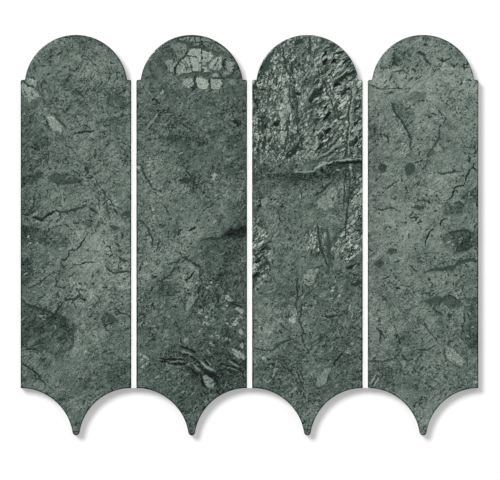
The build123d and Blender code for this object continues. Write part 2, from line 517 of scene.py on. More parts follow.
# %% Draw the first stone
STONE_1 = {
    "base": 0.412,
    "grain": 1,
    "shapes": [
        (PALE, [(-33, 102.5), (-29, 103.6), (-25.6, 101), (-26.5, 98.2), (-31, 99.5)]),
        (PALE, [(-35.9, 100.8), (-31.6, 98.2), (-27, 96.5), (-24.3, 91.9), (-30.5, 88),
        (-33.9, 91.9), (-35.9, 95.5)]),
        *lenses(0.56, (-14.2, 73.4, 7.8, 2.9, -47)),
        *lenses(DIM, (-28.3, 93.6, 0.9, 0.5, 30), (-33.4, 93, 0.8, 0.6, 70),
        (-31.2, 90.4, 0.8, 0.5, 0), (-30.2, 101.2, 0.7, 0.5, 60), (-27.8, 100.2, 0.6, 0.5, 0),
        (-27.2, 96.2, 0.6, 0.5, 40)),
        *lenses(BRIGHT, (-30.6, -1.2, 1.2, 0.6, 50)),
        *lenses(PALE, (-25.4, -5.4, 1.3, 0.5, 20), (-15.6, -4.2, 1, 0.6, 70)),
        *lenses(DIM, (25.3, 5, 3, 1.7, -10)),
        (DIM, [(29, 13), (32, 16), (36.4, 16.5), (36.4, 11.3), (31, 11)]),
        (DIM, [(16.5, -57.9), (20.2, -51), (28.7, -56.6)]),
        *lenses(FAIR, (12.9, -65, 2.6, 1.6, 60)),
        *lenses(BRIGHT, (-29.6, -5.8, 1.3, 0.5, 40)),
        *lenses(PALE, (-12.5, -1.2, 1.2, 0.5, 20), (-10.4, -3.4, 0.8, 0.6, 20),
        (-11, 8.2, 1.2, 0.8, 60)),
        *lenses(FAIR, (-25, 9, 4, 1, -10)),
        *lenses(PALE, (6, -77, 1.4, 0.6, 30)),
        *lenses(FAIR, (-23, -53.3, 2.4, 0.8, 0), (-3.6, -119.8, 1.5, 1.2, 0)),
        *lenses(DARK, (0, -124.7, 1.5, 0.8, 30)),
        *lenses(0.3, (-7, 37.2, 11.4, 2.5, -6)),
        *lenses(0.28, (-29.4, 36.6, 7.6, 1.9, 16)),
    ],
    "patches": [
        (-0.085, [(-36.4, -41), (-28, -46.7), (-20, -49.3), (-13.3, -51.3), (-7.2, -54.6),
        (-1.3, -57.2), (-0.6, -61.8), (-2.3, -68.1), (-2.3, -73.7), (-7.2, -76), (-13.9, -78.9),
        (-21.8, -77.2), (-28, -76), (-36.4, -72.4)]),
        (-0.075, [(-9.2, 101), (-4.6, 102), (-2.4, 97.4), (4, 94), (6.4, 90.6), (2, 91.6),
        (-4, 94.6), (-8.6, 96)]),
        (-0.05, [(20, 95), (27, 97), (36.8, 95), (36.8, 84), (28, 82), (20, 86)]),
        (-0.04, [(12, 75.5), (22, 78), (34, 76.6), (33, 72.6), (22, 71), (14, 72)]),
        (-0.06, [(-36.8, 86), (-27, 84), (-19, 66), (-18, 56), (-20, 48), (-28, 42), (-36.8, 43)]),
        (-0.13, [(-36.8, 36), (-30, 40.5), (-22, 41), (-20.6, 38), (-27, 36.5), (-33, 33.5),
        (-36.8, 31)]),
        (-0.11, [(-18.3, 38), (-13, 41), (-6, 40.5), (0, 37.5), (6.5, 36), (0, 34), (-8, 33.2),
        (-15, 34.5)]),
        (-0.11, [(-36.8, 7), (-26, 5), (-16, 2), (-8, 1), (-3.6, -3), (-6, -8), (-14, -9),
        (-22, -6), (-28, -5), (-36.8, -8)]),
        (-0.12, [(-36.8, -14), (-30, -17), (-27.6, -24), (-31, -31), (-36.8, -34)]),
        (0.04, [(9, -64), (13, -60.6), (19, -62), (20.6, -68), (17, -74), (11, -73), (8, -68)]),
        (-0.05, [(20, -88), (36.8, -84), (36.8, -101), (24, -101)]),
        (-0.05, [(-24, -82.4), (-19.6, -81.2), (-15.8, -83), (-17, -87.4), (-22, -87.8)]),
    ],
    "lines": {
        (BLACK, 0.8): [[(1.6, -40), (3.6, -41.6), (6.8, -43)]],
        (BLACK, 0.9): [[(6.9, 0.1), (4, -3.9), (2, -8.5), (0.4, -9.8), (-3.7, -9.8)],
        [(-2.6, -18.2), (1, -19.4), (4.6, -18.8), (8.6, -17.6), (13.2, -18.4)], [(-13.8, -51.3),
        (-11.8, -47.3), (-7.9, -43.4)]],
        (BLACK, 1): [[(-34.6, 101.6), (-31.6, 98.4), (-30, 98.2), (-25.8, 96.6)], [(-2.1, 65.6),
        (1.8, 67.6), (6.4, 68.4), (12.5, 69)], [(-36.6, 14.2), (-30.7, 13.6), (-28.3, 15.9),
        (-25, 17.8)], [(-4.2, -9.2), (-4.2, -13.4), (-7.2, -17.1), (-10.8, -15.7)], [(-36.4, -84.4),
        (-30.9, -86.8), (-27.4, -89.5), (-25, -92.4), (-22.5, -96.1), (-19.7, -97.9)]],
        (BLACK, 1.8): [[(-28.3, 11.9), (-22.5, 10.1), (-18.4, 13), (-13.8, 15.9)]],
        (0.15, 0.9): [[(-36, -71.6), (-30.6, -74.8), (-24, -76.4)]],
        (DARK, 0.7): [[(2, 122), (10, 115.6), (15, 110)], [(-7, 60), (-1.8, 56), (2.4, 50)],
        [(2, 49), (6, 45.7), (9, 41)], [(9.5, 40), (13, 36), (16, 32)], [(30, 58), (33, 54.6),
        (34, 50)], [(-30, 31), (-26, 29), (-23, 24)], [(26, -68), (31, -74), (34, -80)], [(15, -83),
        (22, -85.4), (29, -85)], [(18, -4), (22, -8), (24, -12)]],
        (DARK, 0.8): [[(-23, 90.9), (-20.4, 87.4), (-17.6, 84.4)], [(4.6, 72.7), (9.8, 70.4)],
        [(20, 112), (22.4, 107), (21.6, 101)], [(23, 112), (25, 106)], [(26, 108), (27.6, 102)],
        [(16, 33), (20, 26), (24, 20), (31, 16)], [(10.7, 35), (13.8, 32.4), (15.6, 27)],
        [(22, 18.6), (26, 16), (28, 12.8)], [(-18.6, 62), (-17.9, 54), (-18.6, 47), (-17, 42)],
        [(-18.6, 36), (-12, 34.2), (-4, 33.8), (4, 35.4)], [(-18.4, 30.6), (-19.1, 25.9)],
        [(-10.9, -46), (-13.3, -51)], [(19.6, -49.6), (16.6, -56), (19.6, -58.6), (28, -57)],
        [(27, -92), (31, -96), (34.6, -97)]],
        (DARK, 0.9): [[(-3.9, 112.3), (-3.9, 105.4), (-6.1, 100.8), (-8.5, 98.2)], [(-2.4, 96),
        (3, 93.2), (6.8, 89.8)], [(22.4, 113.3), (26.4, 112.5)], [(26.4, 106.7), (30.3, 107)],
        [(22, -50), (26, -48.6), (31, -51.6), (36.4, -53)], [(25.4, -12.4), (30, -16),
        (35.4, -18.6)], [(16.5, -78.3), (23.7, -74.3)]],
        (DARK, 1): [[(-32.9, 104.4), (-28.3, 103.8), (-26, 101.4)], [(-6.6, -19.9), (-8.5, -21.7),
        (-10.8, -17.4)], [(-13.8, -23), (-18.4, -26.9), (-21.9, -29.9), (-26.6, -32.9),
        (-32.5, -35.2)], [(-12.4, -44.6), (-10.6, -47.2), (-8.6, -48.4)], [(0.2, -35.2),
        (3.3, -36.3), (8.6, -37.1)]],
        (DARK, 1.1): [[(-15, 80.2), (-10, 75.4), (-6.2, 69.4)], [(-21, 79), (-19, 73),
        (-14.6, 66.8)], [(-27.2, 27.7), (-27.2, 21.8), (-31.9, 14.7)]],
        (DARK, 1.2): [[(-17, 14.4), (-13.8, 15.9), (-7.2, 15.3), (-0.2, 16.5), (5.2, 17.8),
        (6.9, 20.1)], [(19.1, -20.3), (22.7, -23.4), (26.9, -24.6), (31, -23.6), (36.4, -24)],
        [(-14, -27), (-12, -31), (-14.6, -34.4)]],
        (DARK, 1.5): [[(8.6, 18.5), (12.2, 15.2), (14.5, 14.2)]],
        (DARK, 1.6): [[(-7.9, -43.4), (-4, -42.4), (-1.3, -42.8), (2.7, -39.4), (0, -34.8)],
        [(-35.9, -43), (-28, -47), (-20, -49.8), (-13.3, -52), (-7.2, -55)]],
        (DIM, 0.8): [[(-34.6, 97), (-33.8, 94.4), (-32.4, 92)], [(-29.6, 95.6), (-28.4, 93),
        (-28.8, 91)], [(-8.5, 68.1), (-7, 61), (-6.1, 55.6)], [(14.5, 26.4), (15.4, 15.2)]],
        (DIM, 1): [[(19.5, 24), (21.5, 16), (22, 10)]],
        (DIM, 1.1): [[(-1.3, -57.2), (-0.6, -61.8), (-2.3, -68.1), (-2.3, -73.7), (-7.2, -76),
        (-13.9, -78.9)]],
        (DIM, 1.2): [[(18.5, 96), (21.6, 93), (22, 88.6), (19.6, 86.4)], [(12, 74), (22, 75.6),
        (33.6, 79)]],
        (0.3, 1.2): [[(-26, 101), (-24.5, 95.5), (-22.6, 90.4)]],
        (0.31, 1): [[(-20.6, 101), (-17.8, 97.6), (-16.6, 92.6)]],
        (0.34, 0.5): [[(-34, -49), (-29, -54), (-25, -60)], [(-30, -50), (-25, -55), (-21, -62)],
        [(-27, -51), (-21.6, -56), (-18, -63)]],
        (0.35, 0.5): [[(-35.4, -57), (-30, -62), (-27, -68)], [(-31, -64), (-25, -69), (-21, -74)]],
        (0.35, 0.6): [[(-36.2, -62.6), (-31, -63.4), (-25, -65.6)]],
        (0.47, 0.6): [[(-24, 114), (-18, 104)], [(12, -76), (20, -79.6), (28, -80)], [(8, -84),
        (18, -88), (27, -88.6)]],
        (0.47, 0.7): [[(-27, 113), (-21, 104), (-16, 95)], [(16.6, -61), (22, -66), (27, -69.4)]],
        (FAIR, 0.6): [[(0.5, 123), (12, 114.6), (21.6, 105)], [(4, 125), (16, 115), (24, 106)],
        [(-10, 112), (-2, 110), (5, 108)], [(-20, 44), (-14, 42.6), (-6, 41.8)], [(-4.8, 46.4),
        (-2, 43), (2.2, 41.6)]],
        (FAIR, 0.7): [[(-12, 108.6), (-4, 107.4), (4, 104)]],
    },
    "clouds": [
        (-0.05, -32, 85, 7, 7, 0), (-0.06, -33, 35, 7, 6, 0), (-0.03, -20, 30, 10, 7, 0),
        (-0.05, -30, -15, 8, 9, 0), (-0.05, -18, -14, 7, 7, 0), (0.05, 30, -25, 5, 6, 0),
        (0.035, 26, -40, 9, 8, 0), (0.035, -18, -40, 8, 7, 0), (0.05, -16, -65, 9, 5, 0),
        (-0.04, 8, -84, 6, 6, 0), (-0.035, 6, -98, 6, 5, 0), (0.04, 14, 42, 10, 8, 0),
        (-0.03, -31, -92, 8, 10, 0), (-0.045, -6, -108, 5, 6, 0), (-0.04, 30, 86, 6, 6, 0),
        (-0.03, 6, 116, 6, 5, 0), (-0.05, 8, -15, 5, 4, 0), (-0.035, 18, -66, 6, 5, 0),
        (0.03, -30, 45, 6, 4, 0), (0.07, 8, -20, 19, 30, 10), (0.06, 22, 8, 12, 34, 0),
        (0.06, 3, -64, 8, 20, 0), (-0.04, 2, -104, 8, 9, 0), (0.05, 6, -4, 8, 6, 0),
        (-0.03, 26, -66, 10, 10, 0), (-0.05, -32, -96, 6, 8, 0), (0.05, -18, 104, 6, 10, -50),
        (-0.05, 22, -96, 18, 12, 0), (-0.05, -32, 5, 7, 38, 0), (0.04, 18, 112, 10, 10, 0),
        (-0.04, -22, -62, 17, 10, -8), (-0.04, -6, -62, 5, 7, 0), (-0.05, 12, 117.9, 7, 4, 90),
        (-0.15, 2.3, 128, 4, 2, 0), (0.05, 4.6, 57.3, 11, 7, 90), (0.07, 5, 117, 11, 3.5, -58),
        (0.05, -15, 28, 9, 5, 20),
    ],
    "calm": [(0.45, -24, -62, 14, 12, -10)],
    "broken": [],
    "slaty": [],
}
print("stone 1: shapes", len(STONE_1["shapes"]), "lines", len(STONE_1["lines"]))

# %% [markdown]
# ## The second stone
#
# The darkest of the four. Its head is broken into plates with thin cracks between them, which
# are drawn as large shapes with thin lines over them, as the real plates moved apart only a
# little before they healed.

# %% Draw the second stone
STONE_2 = {
    "base": 0.376,
    "grain": 1.05,
    "shapes": [
        (0.45, [(-14.2, 125.8), (-10.2, 127.1), (-3.6, 125.2), (-3, 121.2), (-5.3, 118.6),
        (-10.2, 116.3), (-11.5, 120.6)]),
        (0.52, [(-17.4, 114.6), (-14.2, 115.3), (-8.6, 114.3), (-11.2, 111), (-11.9, 107.2),
        (-14.8, 108.7), (-18.1, 112.6)]),
        (PALE, [(-10.2, 110.7), (-6.9, 114.6), (-3.6, 118.1), (-2.2, 118.1), (-1.3, 114.6),
        (-0.5, 110.7), (0, 107.5), (-3.6, 107), (-7.6, 106.1), (-10.1, 105.4)]),
        (0.61, [(-1.6, 121.2), (-0.3, 122.9), (2.3, 123.2), (5.9, 121.9), (6.1, 108.2), (1, 107.4),
        (0, 111.3), (-1, 115.3), (-2, 118.9)]),
        (0.61, [(7, 121.5), (9.5, 120.9), (12.8, 119.6), (13.8, 117.9), (12.2, 114.6), (9.5, 112),
        (6.8, 111.3)]),
        (BRIGHT, [(6.8, 110.5), (8.6, 110.9), (10.2, 109.8), (11.6, 108.3), (8.9, 107.4),
        (6.7, 107.3)]),
        (0.59, [(12.8, 114), (15.5, 116.9), (18.8, 118.2), (20.1, 117.3), (19.4, 108.7),
        (17.4, 108.2), (12.8, 109.4), (12, 111.3)]),
        (0.51, [(22.4, 114.6), (24.7, 115.6), (27.9, 113.4), (27.2, 109.4), (25.3, 106.4),
        (23, 109.7)]),
        (PALE, [(12.7, 107.3), (15.5, 107.5), (18.1, 105.4), (15.5, 104.3), (13.2, 105.1)]),
        (FAIR, [(20.4, 107.4), (23.4, 108), (24.6, 106.1), (22.7, 104.8), (20.2, 105.4)]),
        (FAIR, [(-8.2, 129), (-3.6, 130.3), (1.6, 130.7), (5.9, 130.1), (5.9, 127.8), (1.6, 127.7),
        (-1.6, 127.3), (-6.9, 128)]),
        (FAIR, [(7, 129.8), (10.9, 129.6), (12.8, 127.9), (7.4, 127.7)]),
        (0.46, [(7, 126.6), (10.9, 126.5), (12.8, 124.5), (9.5, 123.3), (7, 124)]),
        (FAIR, [(1, 127), (5.6, 126.9), (4.9, 125.1), (1.6, 125.1)]),
        (PALE, [(-5.3, 102.1), (-2.3, 103.2), (1, 103.3), (1, 98.8), (-0.7, 97.6), (-4.7, 98.2)]),
        (BRIGHT, [(2.4, 103.3), (11, 103.3), (11.3, 98.9), (9.4, 96), (3.4, 96.5)]),
        (0.59, [(12.9, 103.3), (19.6, 102.4), (19.4, 98), (16.3, 94.8), (12.9, 96)]),
        (FAIR, [(24.7, 101), (27.6, 102.1), (29.1, 99.9), (26.5, 98.8)]),
        (PALE, [(-21.1, 93.1), (-19.2, 95.9), (-18, 92.5)]),
        (PALE, [(12.8, 40.5), (15, 41), (17.3, 39.5), (16.5, 37), (13.5, 37.2)]),
        *lenses(PALE, (24.4, -42.1, 3.2, 1.6, -35)),
        *lenses(0.42, (24.9, -42.3, 1.6, 0.7, -35)),
        *lenses(PALE, (31.3, -49.6, 3.4, 1.5, -35), (10.9, -34.2, 1.6, 1, 20),
        (32.9, -54.2, 0.9, 0.9, 0), (31.6, -67.1, 1.3, 0.5, -30), (14.5, -55.6, 0.9, 0.7, 0),
        (22.7, -55.2, 1, 0.6, 40), (23.2, -58.2, 1.1, 0.6, -20), (26.2, -59.8, 0.8, 0.6, 0),
        (29.6, -54.9, 1.2, 0.8, 20), (23.4, -46.7, 1, 0.6, 40), (21.4, -48.7, 0.9, 0.6, 0),
        (6.9, -49.3, 0.9, 0.6, 50), (5.6, -51.3, 1.1, 0.7, 0), (22.7, -68.1, 1.1, 0.7, -30),
        (25.3, -68.6, 0.8, 0.6, 0)),
        *lenses(FAIR, (13.5, -71.2, 2.4, 0.8, -22), (11.5, -77, 2.4, 0.9, -25)),
        *lenses(PALE, (10.2, -53.9, 1.4, 1, 20), (8.2, -58.5, 1.4, 0.9, 20),
        (29, -57.9, 2.2, 1.8, 20)),
        *lenses(FAIR, (32.6, -53.9, 1.4, 1, 0)),
        *lenses(PALE, (32.6, -63.8, 2, 1.3, 90), (33.2, -72.4, 1.8, 1.3, 70)),
        *lenses(FAIR, (4.9, -63.1, 1.2, 0.9, 0)),
        *lenses(PALE, (13.4, -66.7, 1.4, 0.8, 10), (17.2, -65.8, 1.8, 0.8, -20),
        (20.4, -67.2, 1.3, 0.7, 0)),
        *lenses(0.51, (10.9, -96.2, 5.6, 3.2, -62)),
        (FAIR, [(-4.3, -29.6), (0.5, -30), (1, -34.5), (-3, -35.5)]),
        *lenses(0.47, (-0.7, -44.6, 6.2, 2.1, 68)),
        *lenses(PALE, (-31.9, -58.5, 1.6, 1.1, 0), (-15.5, -53.3, 1.3, 0.9, 0)),
        *lenses(DARK, (-4.2, 36.3, 4.2, 2, 5)),
        *lenses(FAIR, (-6.3, 36.9, 1.1, 0.6, 0)),
        *lenses(PALE, (-3.4, 31.7, 1.2, 0.8, 0), (-3.6, -69.6, 2, 1.2, 25),
        (-35.2, 44.8, 1.6, 1, 40), (-28.6, 46.2, 1.5, 0.9, 40), (-24.8, 41.8, 1.2, 0.7, 0)),
        *lenses(BRIGHT, (-26.3, 16.8, 1, 0.6, 0)),
        *lenses(PALE, (-22.2, 13, 1, 0.6, 0)),
        *lenses(DARK, (-4, -14.5, 1.8, 1.4, 0)),
        *lenses(PALE, (13, -31, 1.1, 0.7, 0), (16.6, -33.4, 1.2, 0.7, 30),
        (30.6, -77.4, 5, 1.2, -35), (28.8, -78.8, 4, 0.8, -35), (32.8, -80.6, 3, 0.8, -35),
        (-33.6, -78.4, 2.2, 0.9, 25), (-30.4, -80.2, 2.4, 0.9, -25)),
        *lenses(FAIR, (-33.4, -82.4, 2.2, 0.8, 35)),
        *lenses(PALE, (-29.4, -84.4, 1.8, 0.8, 60), (-32.6, -86.4, 1.6, 0.7, 10)),
    ],
    "patches": [
        (-0.05, [(-24.6, 118), (-20.6, 117.6), (-15.6, 106), (-18.4, 103.4)]),
        (-0.045, [(-18.8, 65), (-10, 67), (-2, 64), (3.2, 56), (2, 47.6), (-6, 48), (-10, 56),
        (-18, 57.6)]),
        (-0.05, [(20.4, 63), (26, 65.6), (32, 63), (30, 58.4), (23, 58)]),
        (-0.13, [(17, -1.6), (24, 2.6), (30, 4.6), (36.8, 6.6), (36.8, -1.4), (28, -1.8)]),
        (-0.03, [(3.2, -6), (9, -3), (20, -3.4), (26.6, -7), (25, -12.6), (15, -15), (6, -13)]),
        (0.045, [(-9.4, -21), (-2, -18.6), (4.4, -22), (5.6, -30), (3, -37.6), (-5, -37),
        (-9, -30)]),
        (-0.035, [(-14, -73), (5, -75), (22, -76), (36.8, -83), (36.8, -101), (20, -104), (8, -101),
        (0, -92), (-10, -86), (-22, -82)]),
    ],
    "lines": {
        (INKY, 1): [[(21, 113.4), (21.6, 111.4)], [(32.2, -92.8), (35.6, -94.4)]],
        (INKY, 1.2): [[(-4.3, -30.1), (2.2, -23.9)], [(23.6, -81.2), (28.6, -82.8), (33, -86.2)],
        [(25, -86.1), (29.6, -88.4), (34.6, -91)]],
        (INKY, 1.4): [[(7, -80.8), (13.4, -86.4)]],
        (INKY, 1.5): [[(5.8, -91.4), (6.6, -96.4), (9, -100), (11.9, -102.4)], [(15.7, -102.2),
        (19, -105.4)], [(-8, -73.2), (-2, -75), (3, -77.6)]],
        (INKY, 1.6): [[(-22.6, -80.2), (-17, -81.6), (-10, -81.7), (-4.2, -82.4)], [(-22, -82.6),
        (-14, -84.5), (-8, -84.7), (-2.8, -84.4)], [(7, -88.2), (13.5, -91.2), (17.8, -94.2)],
        [(-2.2, -86.2), (1.2, -89.5), (4.3, -92.8)], [(11.2, -91), (15, -94.7), (17.8, -99.4)]],
        (INKY, 1.7): [[(-0.6, -79.9), (4.1, -84.4), (7.4, -88.6)]],
        (INKY, 2.2): [[(27.6, 75.4), (29.8, 75.2), (30.9, 73.6), (30.4, 71.6)]],
        (BLACK, 0.75): [[(6.4, 124.6), (6.4, 116), (6.5, 106.8)], [(-2, 119.4), (-0.9, 114.8),
        (-0.1, 110.6), (0.5, 107)], [(1.3, 103.8), (1.8, 95.9)], [(11.9, 104.7), (12.1, 95.3)]],
        (BLACK, 0.8): [[(-10.9, 122.5), (-10.5, 116.4)], [(6.2, 131), (6.4, 124.6)], [(-1, -82.9),
        (2, -84.6), (4.9, -87.5)], [(8.9, -102), (11.5, -104.6)], [(18.1, -96.5), (24.7, -101.8)],
        [(18.6, -99.6), (22.6, -102.6)], [(0.9, -37.6), (2.9, -37.8)], [(-2.6, -38.4), (-1, -39)],
        [(26.4, -44.4), (30, -46.4), (34.4, -48.2)]],
        (BLACK, 0.9): [[(-11.2, 105.6), (-10.9, 110.7), (-8.2, 114), (-3.6, 118.7), (-1.6, 123.6)],
        [(-3.6, 130.6), (-4, 127.4)], [(-0.9, 130.8), (-1.2, 127)], [(2.4, 131), (2.2, 127)],
        [(22, -87.5), (28.6, -91)], [(-6.9, -68.1), (-7.2, -70.5), (-5.5, -71.5)], [(5, -34),
        (4.3, -36.8), (4.4, -41.4)]],
        (BLACK, 1): [[(22.4, 115.6), (20.9, 114.4), (20.6, 110.7), (22.1, 108.4)], [(-26.4, 86.6),
        (-24, 86.2)], [(-9.3, -0.6), (-6.9, 3)], [(-1, -88.2), (2, -91.4)], [(7.4, -78.5),
        (14, -80.9)]],
        (BLACK, 1.1): [[(-1.6, 3), (2.3, 5.3)]],
        (BLACK, 1.2): [[(-27, 88.4), (-25, 90), (-22.6, 88.9), (-22.2, 87)], [(23, 1.4), (28, 3),
        (33, 3.2), (36.8, 4.4)], [(19, -84.4), (24.7, -86.4)]],
        (BLACK, 1.3): [[(-9.4, -77.2), (-1.2, -79.4)]],
        (DARK, 0.6): [[(-6, 106.4), (0, 106.8), (7, 106.6), (12.4, 107.6)]],
        (DARK, 0.7): [[(-1.6, 118.7), (1, 117.6), (3, 116.4)], [(9.2, 114.2), (11.2, 112.8)],
        [(16.2, 109), (17.6, 111.6), (18.6, 112.6)], [(0.4, 127.5), (5, 127.4), (12.6, 127.2)]],
        (DARK, 0.8): [[(-6.2, 115), (-4.8, 111.3), (-3.9, 107.6)], [(-4.6, 116.6), (-3, 112.3),
        (-2.6, 109.6)], [(9.5, 111.6), (12.6, 114.8), (14.3, 118.2)], [(13.8, 109.6), (16.4, 113.6),
        (17.6, 117.4)], [(-9, 128.4), (-3.4, 125.6), (0.4, 124), (5, 123)], [(-32, 70), (-24, 80)],
        [(-29.6, 68), (-22.5, 77)], [(-22.2, -2.3), (-21.6, -5.9), (-24, -10.5)], [(-20.4, 21.1),
        (-17, 18), (-14.6, 14.2)], [(-7, -40), (-5.4, -46), (-3.6, -51)]],
        (DARK, 0.9): [[(13.4, 104), (17, 103.4), (24.2, 103.3), (27.6, 106.7), (29.2, 112.9)],
        [(18.6, 95.9), (18, 93.1)], [(21.4, 96.5), (21.1, 91.9)], [(-25.2, 23.1), (-22.7, 20.5)],
        [(6.6, 14.2), (13, 19.8), (19, 24.2)], [(20.6, -90.4), (25, -93.6)], [(25.6, -96.2),
        (31.4, -97.4)], [(4.3, -41.4), (1.8, -48.7), (-2.3, -54.6)], [(11.4, -72.6),
        (18.8, -75.4)]],
        (DARK, 1): [[(17.8, 107.4), (20, 104.6), (22, 101.6)], [(-6.9, 46.2), (-2.3, 41.8),
        (1.3, 36.5), (1.3, 32.3), (9.5, 35)], [(-22.2, -63.8), (-25.8, -68.1), (-30.1, -71.7)]],
        (DARK, 1.1): [[(-34.6, 47.1), (-32.2, 41.8), (-26.3, 32.3), (-22.7, 29)], [(-35.7, 10.1),
        (-32.2, 8.3), (-28, 3), (-25.7, -3.5), (-25.2, -9.3)], [(-24.7, -31.5), (-15.1, -27.6),
        (-12.2, -22.3)]],
        (DARK, 1.2): [[(-15.7, -20.3), (-6.3, -14.8), (0, -17.2), (5.5, -21), (6.3, -31.3),
        (4.2, -40.7), (-1.3, -50)]],
        (DARK, 1.3): [[(5.5, -3.9), (11.3, -2.3), (18, -2.6), (24.7, -1.6), (30.6, 0.4),
        (36.6, 1.4)]],
        (DIM, 0.9): [[(-23, 118), (-19.4, 118.6), (-14.4, 116.6)]],
        (DIM, 1.6): [[(-10.2, 129), (-3.6, 126.2), (-1, 124.5), (4.3, 123.9), (9.5, 122.2),
        (16.1, 120.9), (22, 120)]],
        (0.32, 1.9): [[(-10.9, 104.6), (-3.6, 105.6), (5.6, 105.5), (11.2, 106), (18.6, 108),
        (20.6, 110)]],
        (FAIR, 0.5): [[(18.4, -98), (23.6, -102)], [(-17.6, -83), (-9, -83.2), (-4, -83.5)]],
        (FAIR, 0.6): [[(-30.5, 97), (-24.8, 91.6)], [(-2.8, -50), (-1.8, -43), (1.6, -38.4)]],
        (FAIR, 0.7): [[(-31, 69), (-23, 78.6)], [(29.4, 22.6), (31.6, 26.6)], [(23.4, -86.8),
        (30.6, -90)]],
        (FAIR, 0.8): [[(31, 23), (33.5, 27.5)]],
        (FAIR, 0.9): [[(2, -86.6), (5.4, -90.4)]],
        (PALE, 0.6): [[(0.3, -84.2), (5.6, -88.8)], [(-7.8, -75.5), (-1, -78), (0.6, -79.6)]],
        (PALE, 0.8): [[(18, 125.2), (20.2, 123.2), (22.4, 120.8)]],
        (PALE, 1): [[(24, -83.4), (31.9, -87)]],
        (PALE, 1.3): [[(4.4, -82.4), (10, -86.2), (16, -89.8)]],
        (BRIGHT, 0.6): [[(9.2, -82), (13.6, -85.6)]],
    },
    "clouds": [
        (-0.05, -18, 98, 7, 8, 0), (-0.05, -6, 94, 6, 6, 0), (0.035, 8, 106, 8, 5, 0),
        (0.04, 6, 121, 7, 4, 0), (-0.03, 30, 96, 6, 5, 0), (-0.07, 18, 66, 6, 5, 0),
        (-0.05, 26, 55, 9, 5, 0), (-0.035, 30, 42, 6, 6, 0), (0.04, -6, 34, 6, 6, 0),
        (-0.035, -16, 54, 8, 5, 0), (-0.035, 9, 4, 7, 6, 0), (0.035, -6, -5, 6, 6, 0),
        (0.03, -18, -35, 7, 5, 0), (-0.045, -6, -56, 6, 6, 0), (-0.045, 24, -55, 12, 7, 0),
        (-0.035, -24, -86, 10, 8, 0), (-0.055, -6, -107, 7, 9, 0), (0.035, 16, -82, 8, 5, 0),
        (-0.035, 31, -94, 7, 5, 0), (0.03, -30, 24, 6, 8, 0), (0.08, 0, 0, 58, 8, 39.5),
        (0.09, -27, 12, 10, 34, 0), (0.06, -3, -22, 9, 16, 0), (-0.06, 32, 10, 8, 60, 0),
        (-0.04, -4, -106, 10, 12, 0), (0.05, 7, 110, 14, 10, 0), (-0.12, 30, 1.5, 9, 3.5, 0),
        (-0.03, 14, -11, 9, 7, 0), (-0.09, -19, -34, 9, 5, 10), (-0.07, 20, -75, 18, 22, 20),
        (-0.07, 24, -30, 13, 9, 0), (-0.05, -4, 119, 26, 16, 0), (0.04, -24, 105, 8, 9, 0),
        (-0.03, 26, 85, 9, 8, 0), (-0.02, -20, -92, 14, 8, 0), (-0.08, 5, -90, 16, 8, -25),
        (0.05, -20, 55, 12, 12, 0),
    ],
    "calm": [(0.7, -24.4, 105.3, 8, 9, 0), (0.6, 14.2, -11, 9, 7, 0)],
    "broken": [],
    "slaty": [],
}
print("stone 2: shapes", len(STONE_2["shapes"]), "lines", len(STONE_2["lines"]))

# %% [markdown]
# ## The third stone
#
# A breccia in the true sense: many pale pieces of all sizes float in dark green. Each larger
# piece is drawn corner by corner, and the small ones are lenses, which are quick to place.

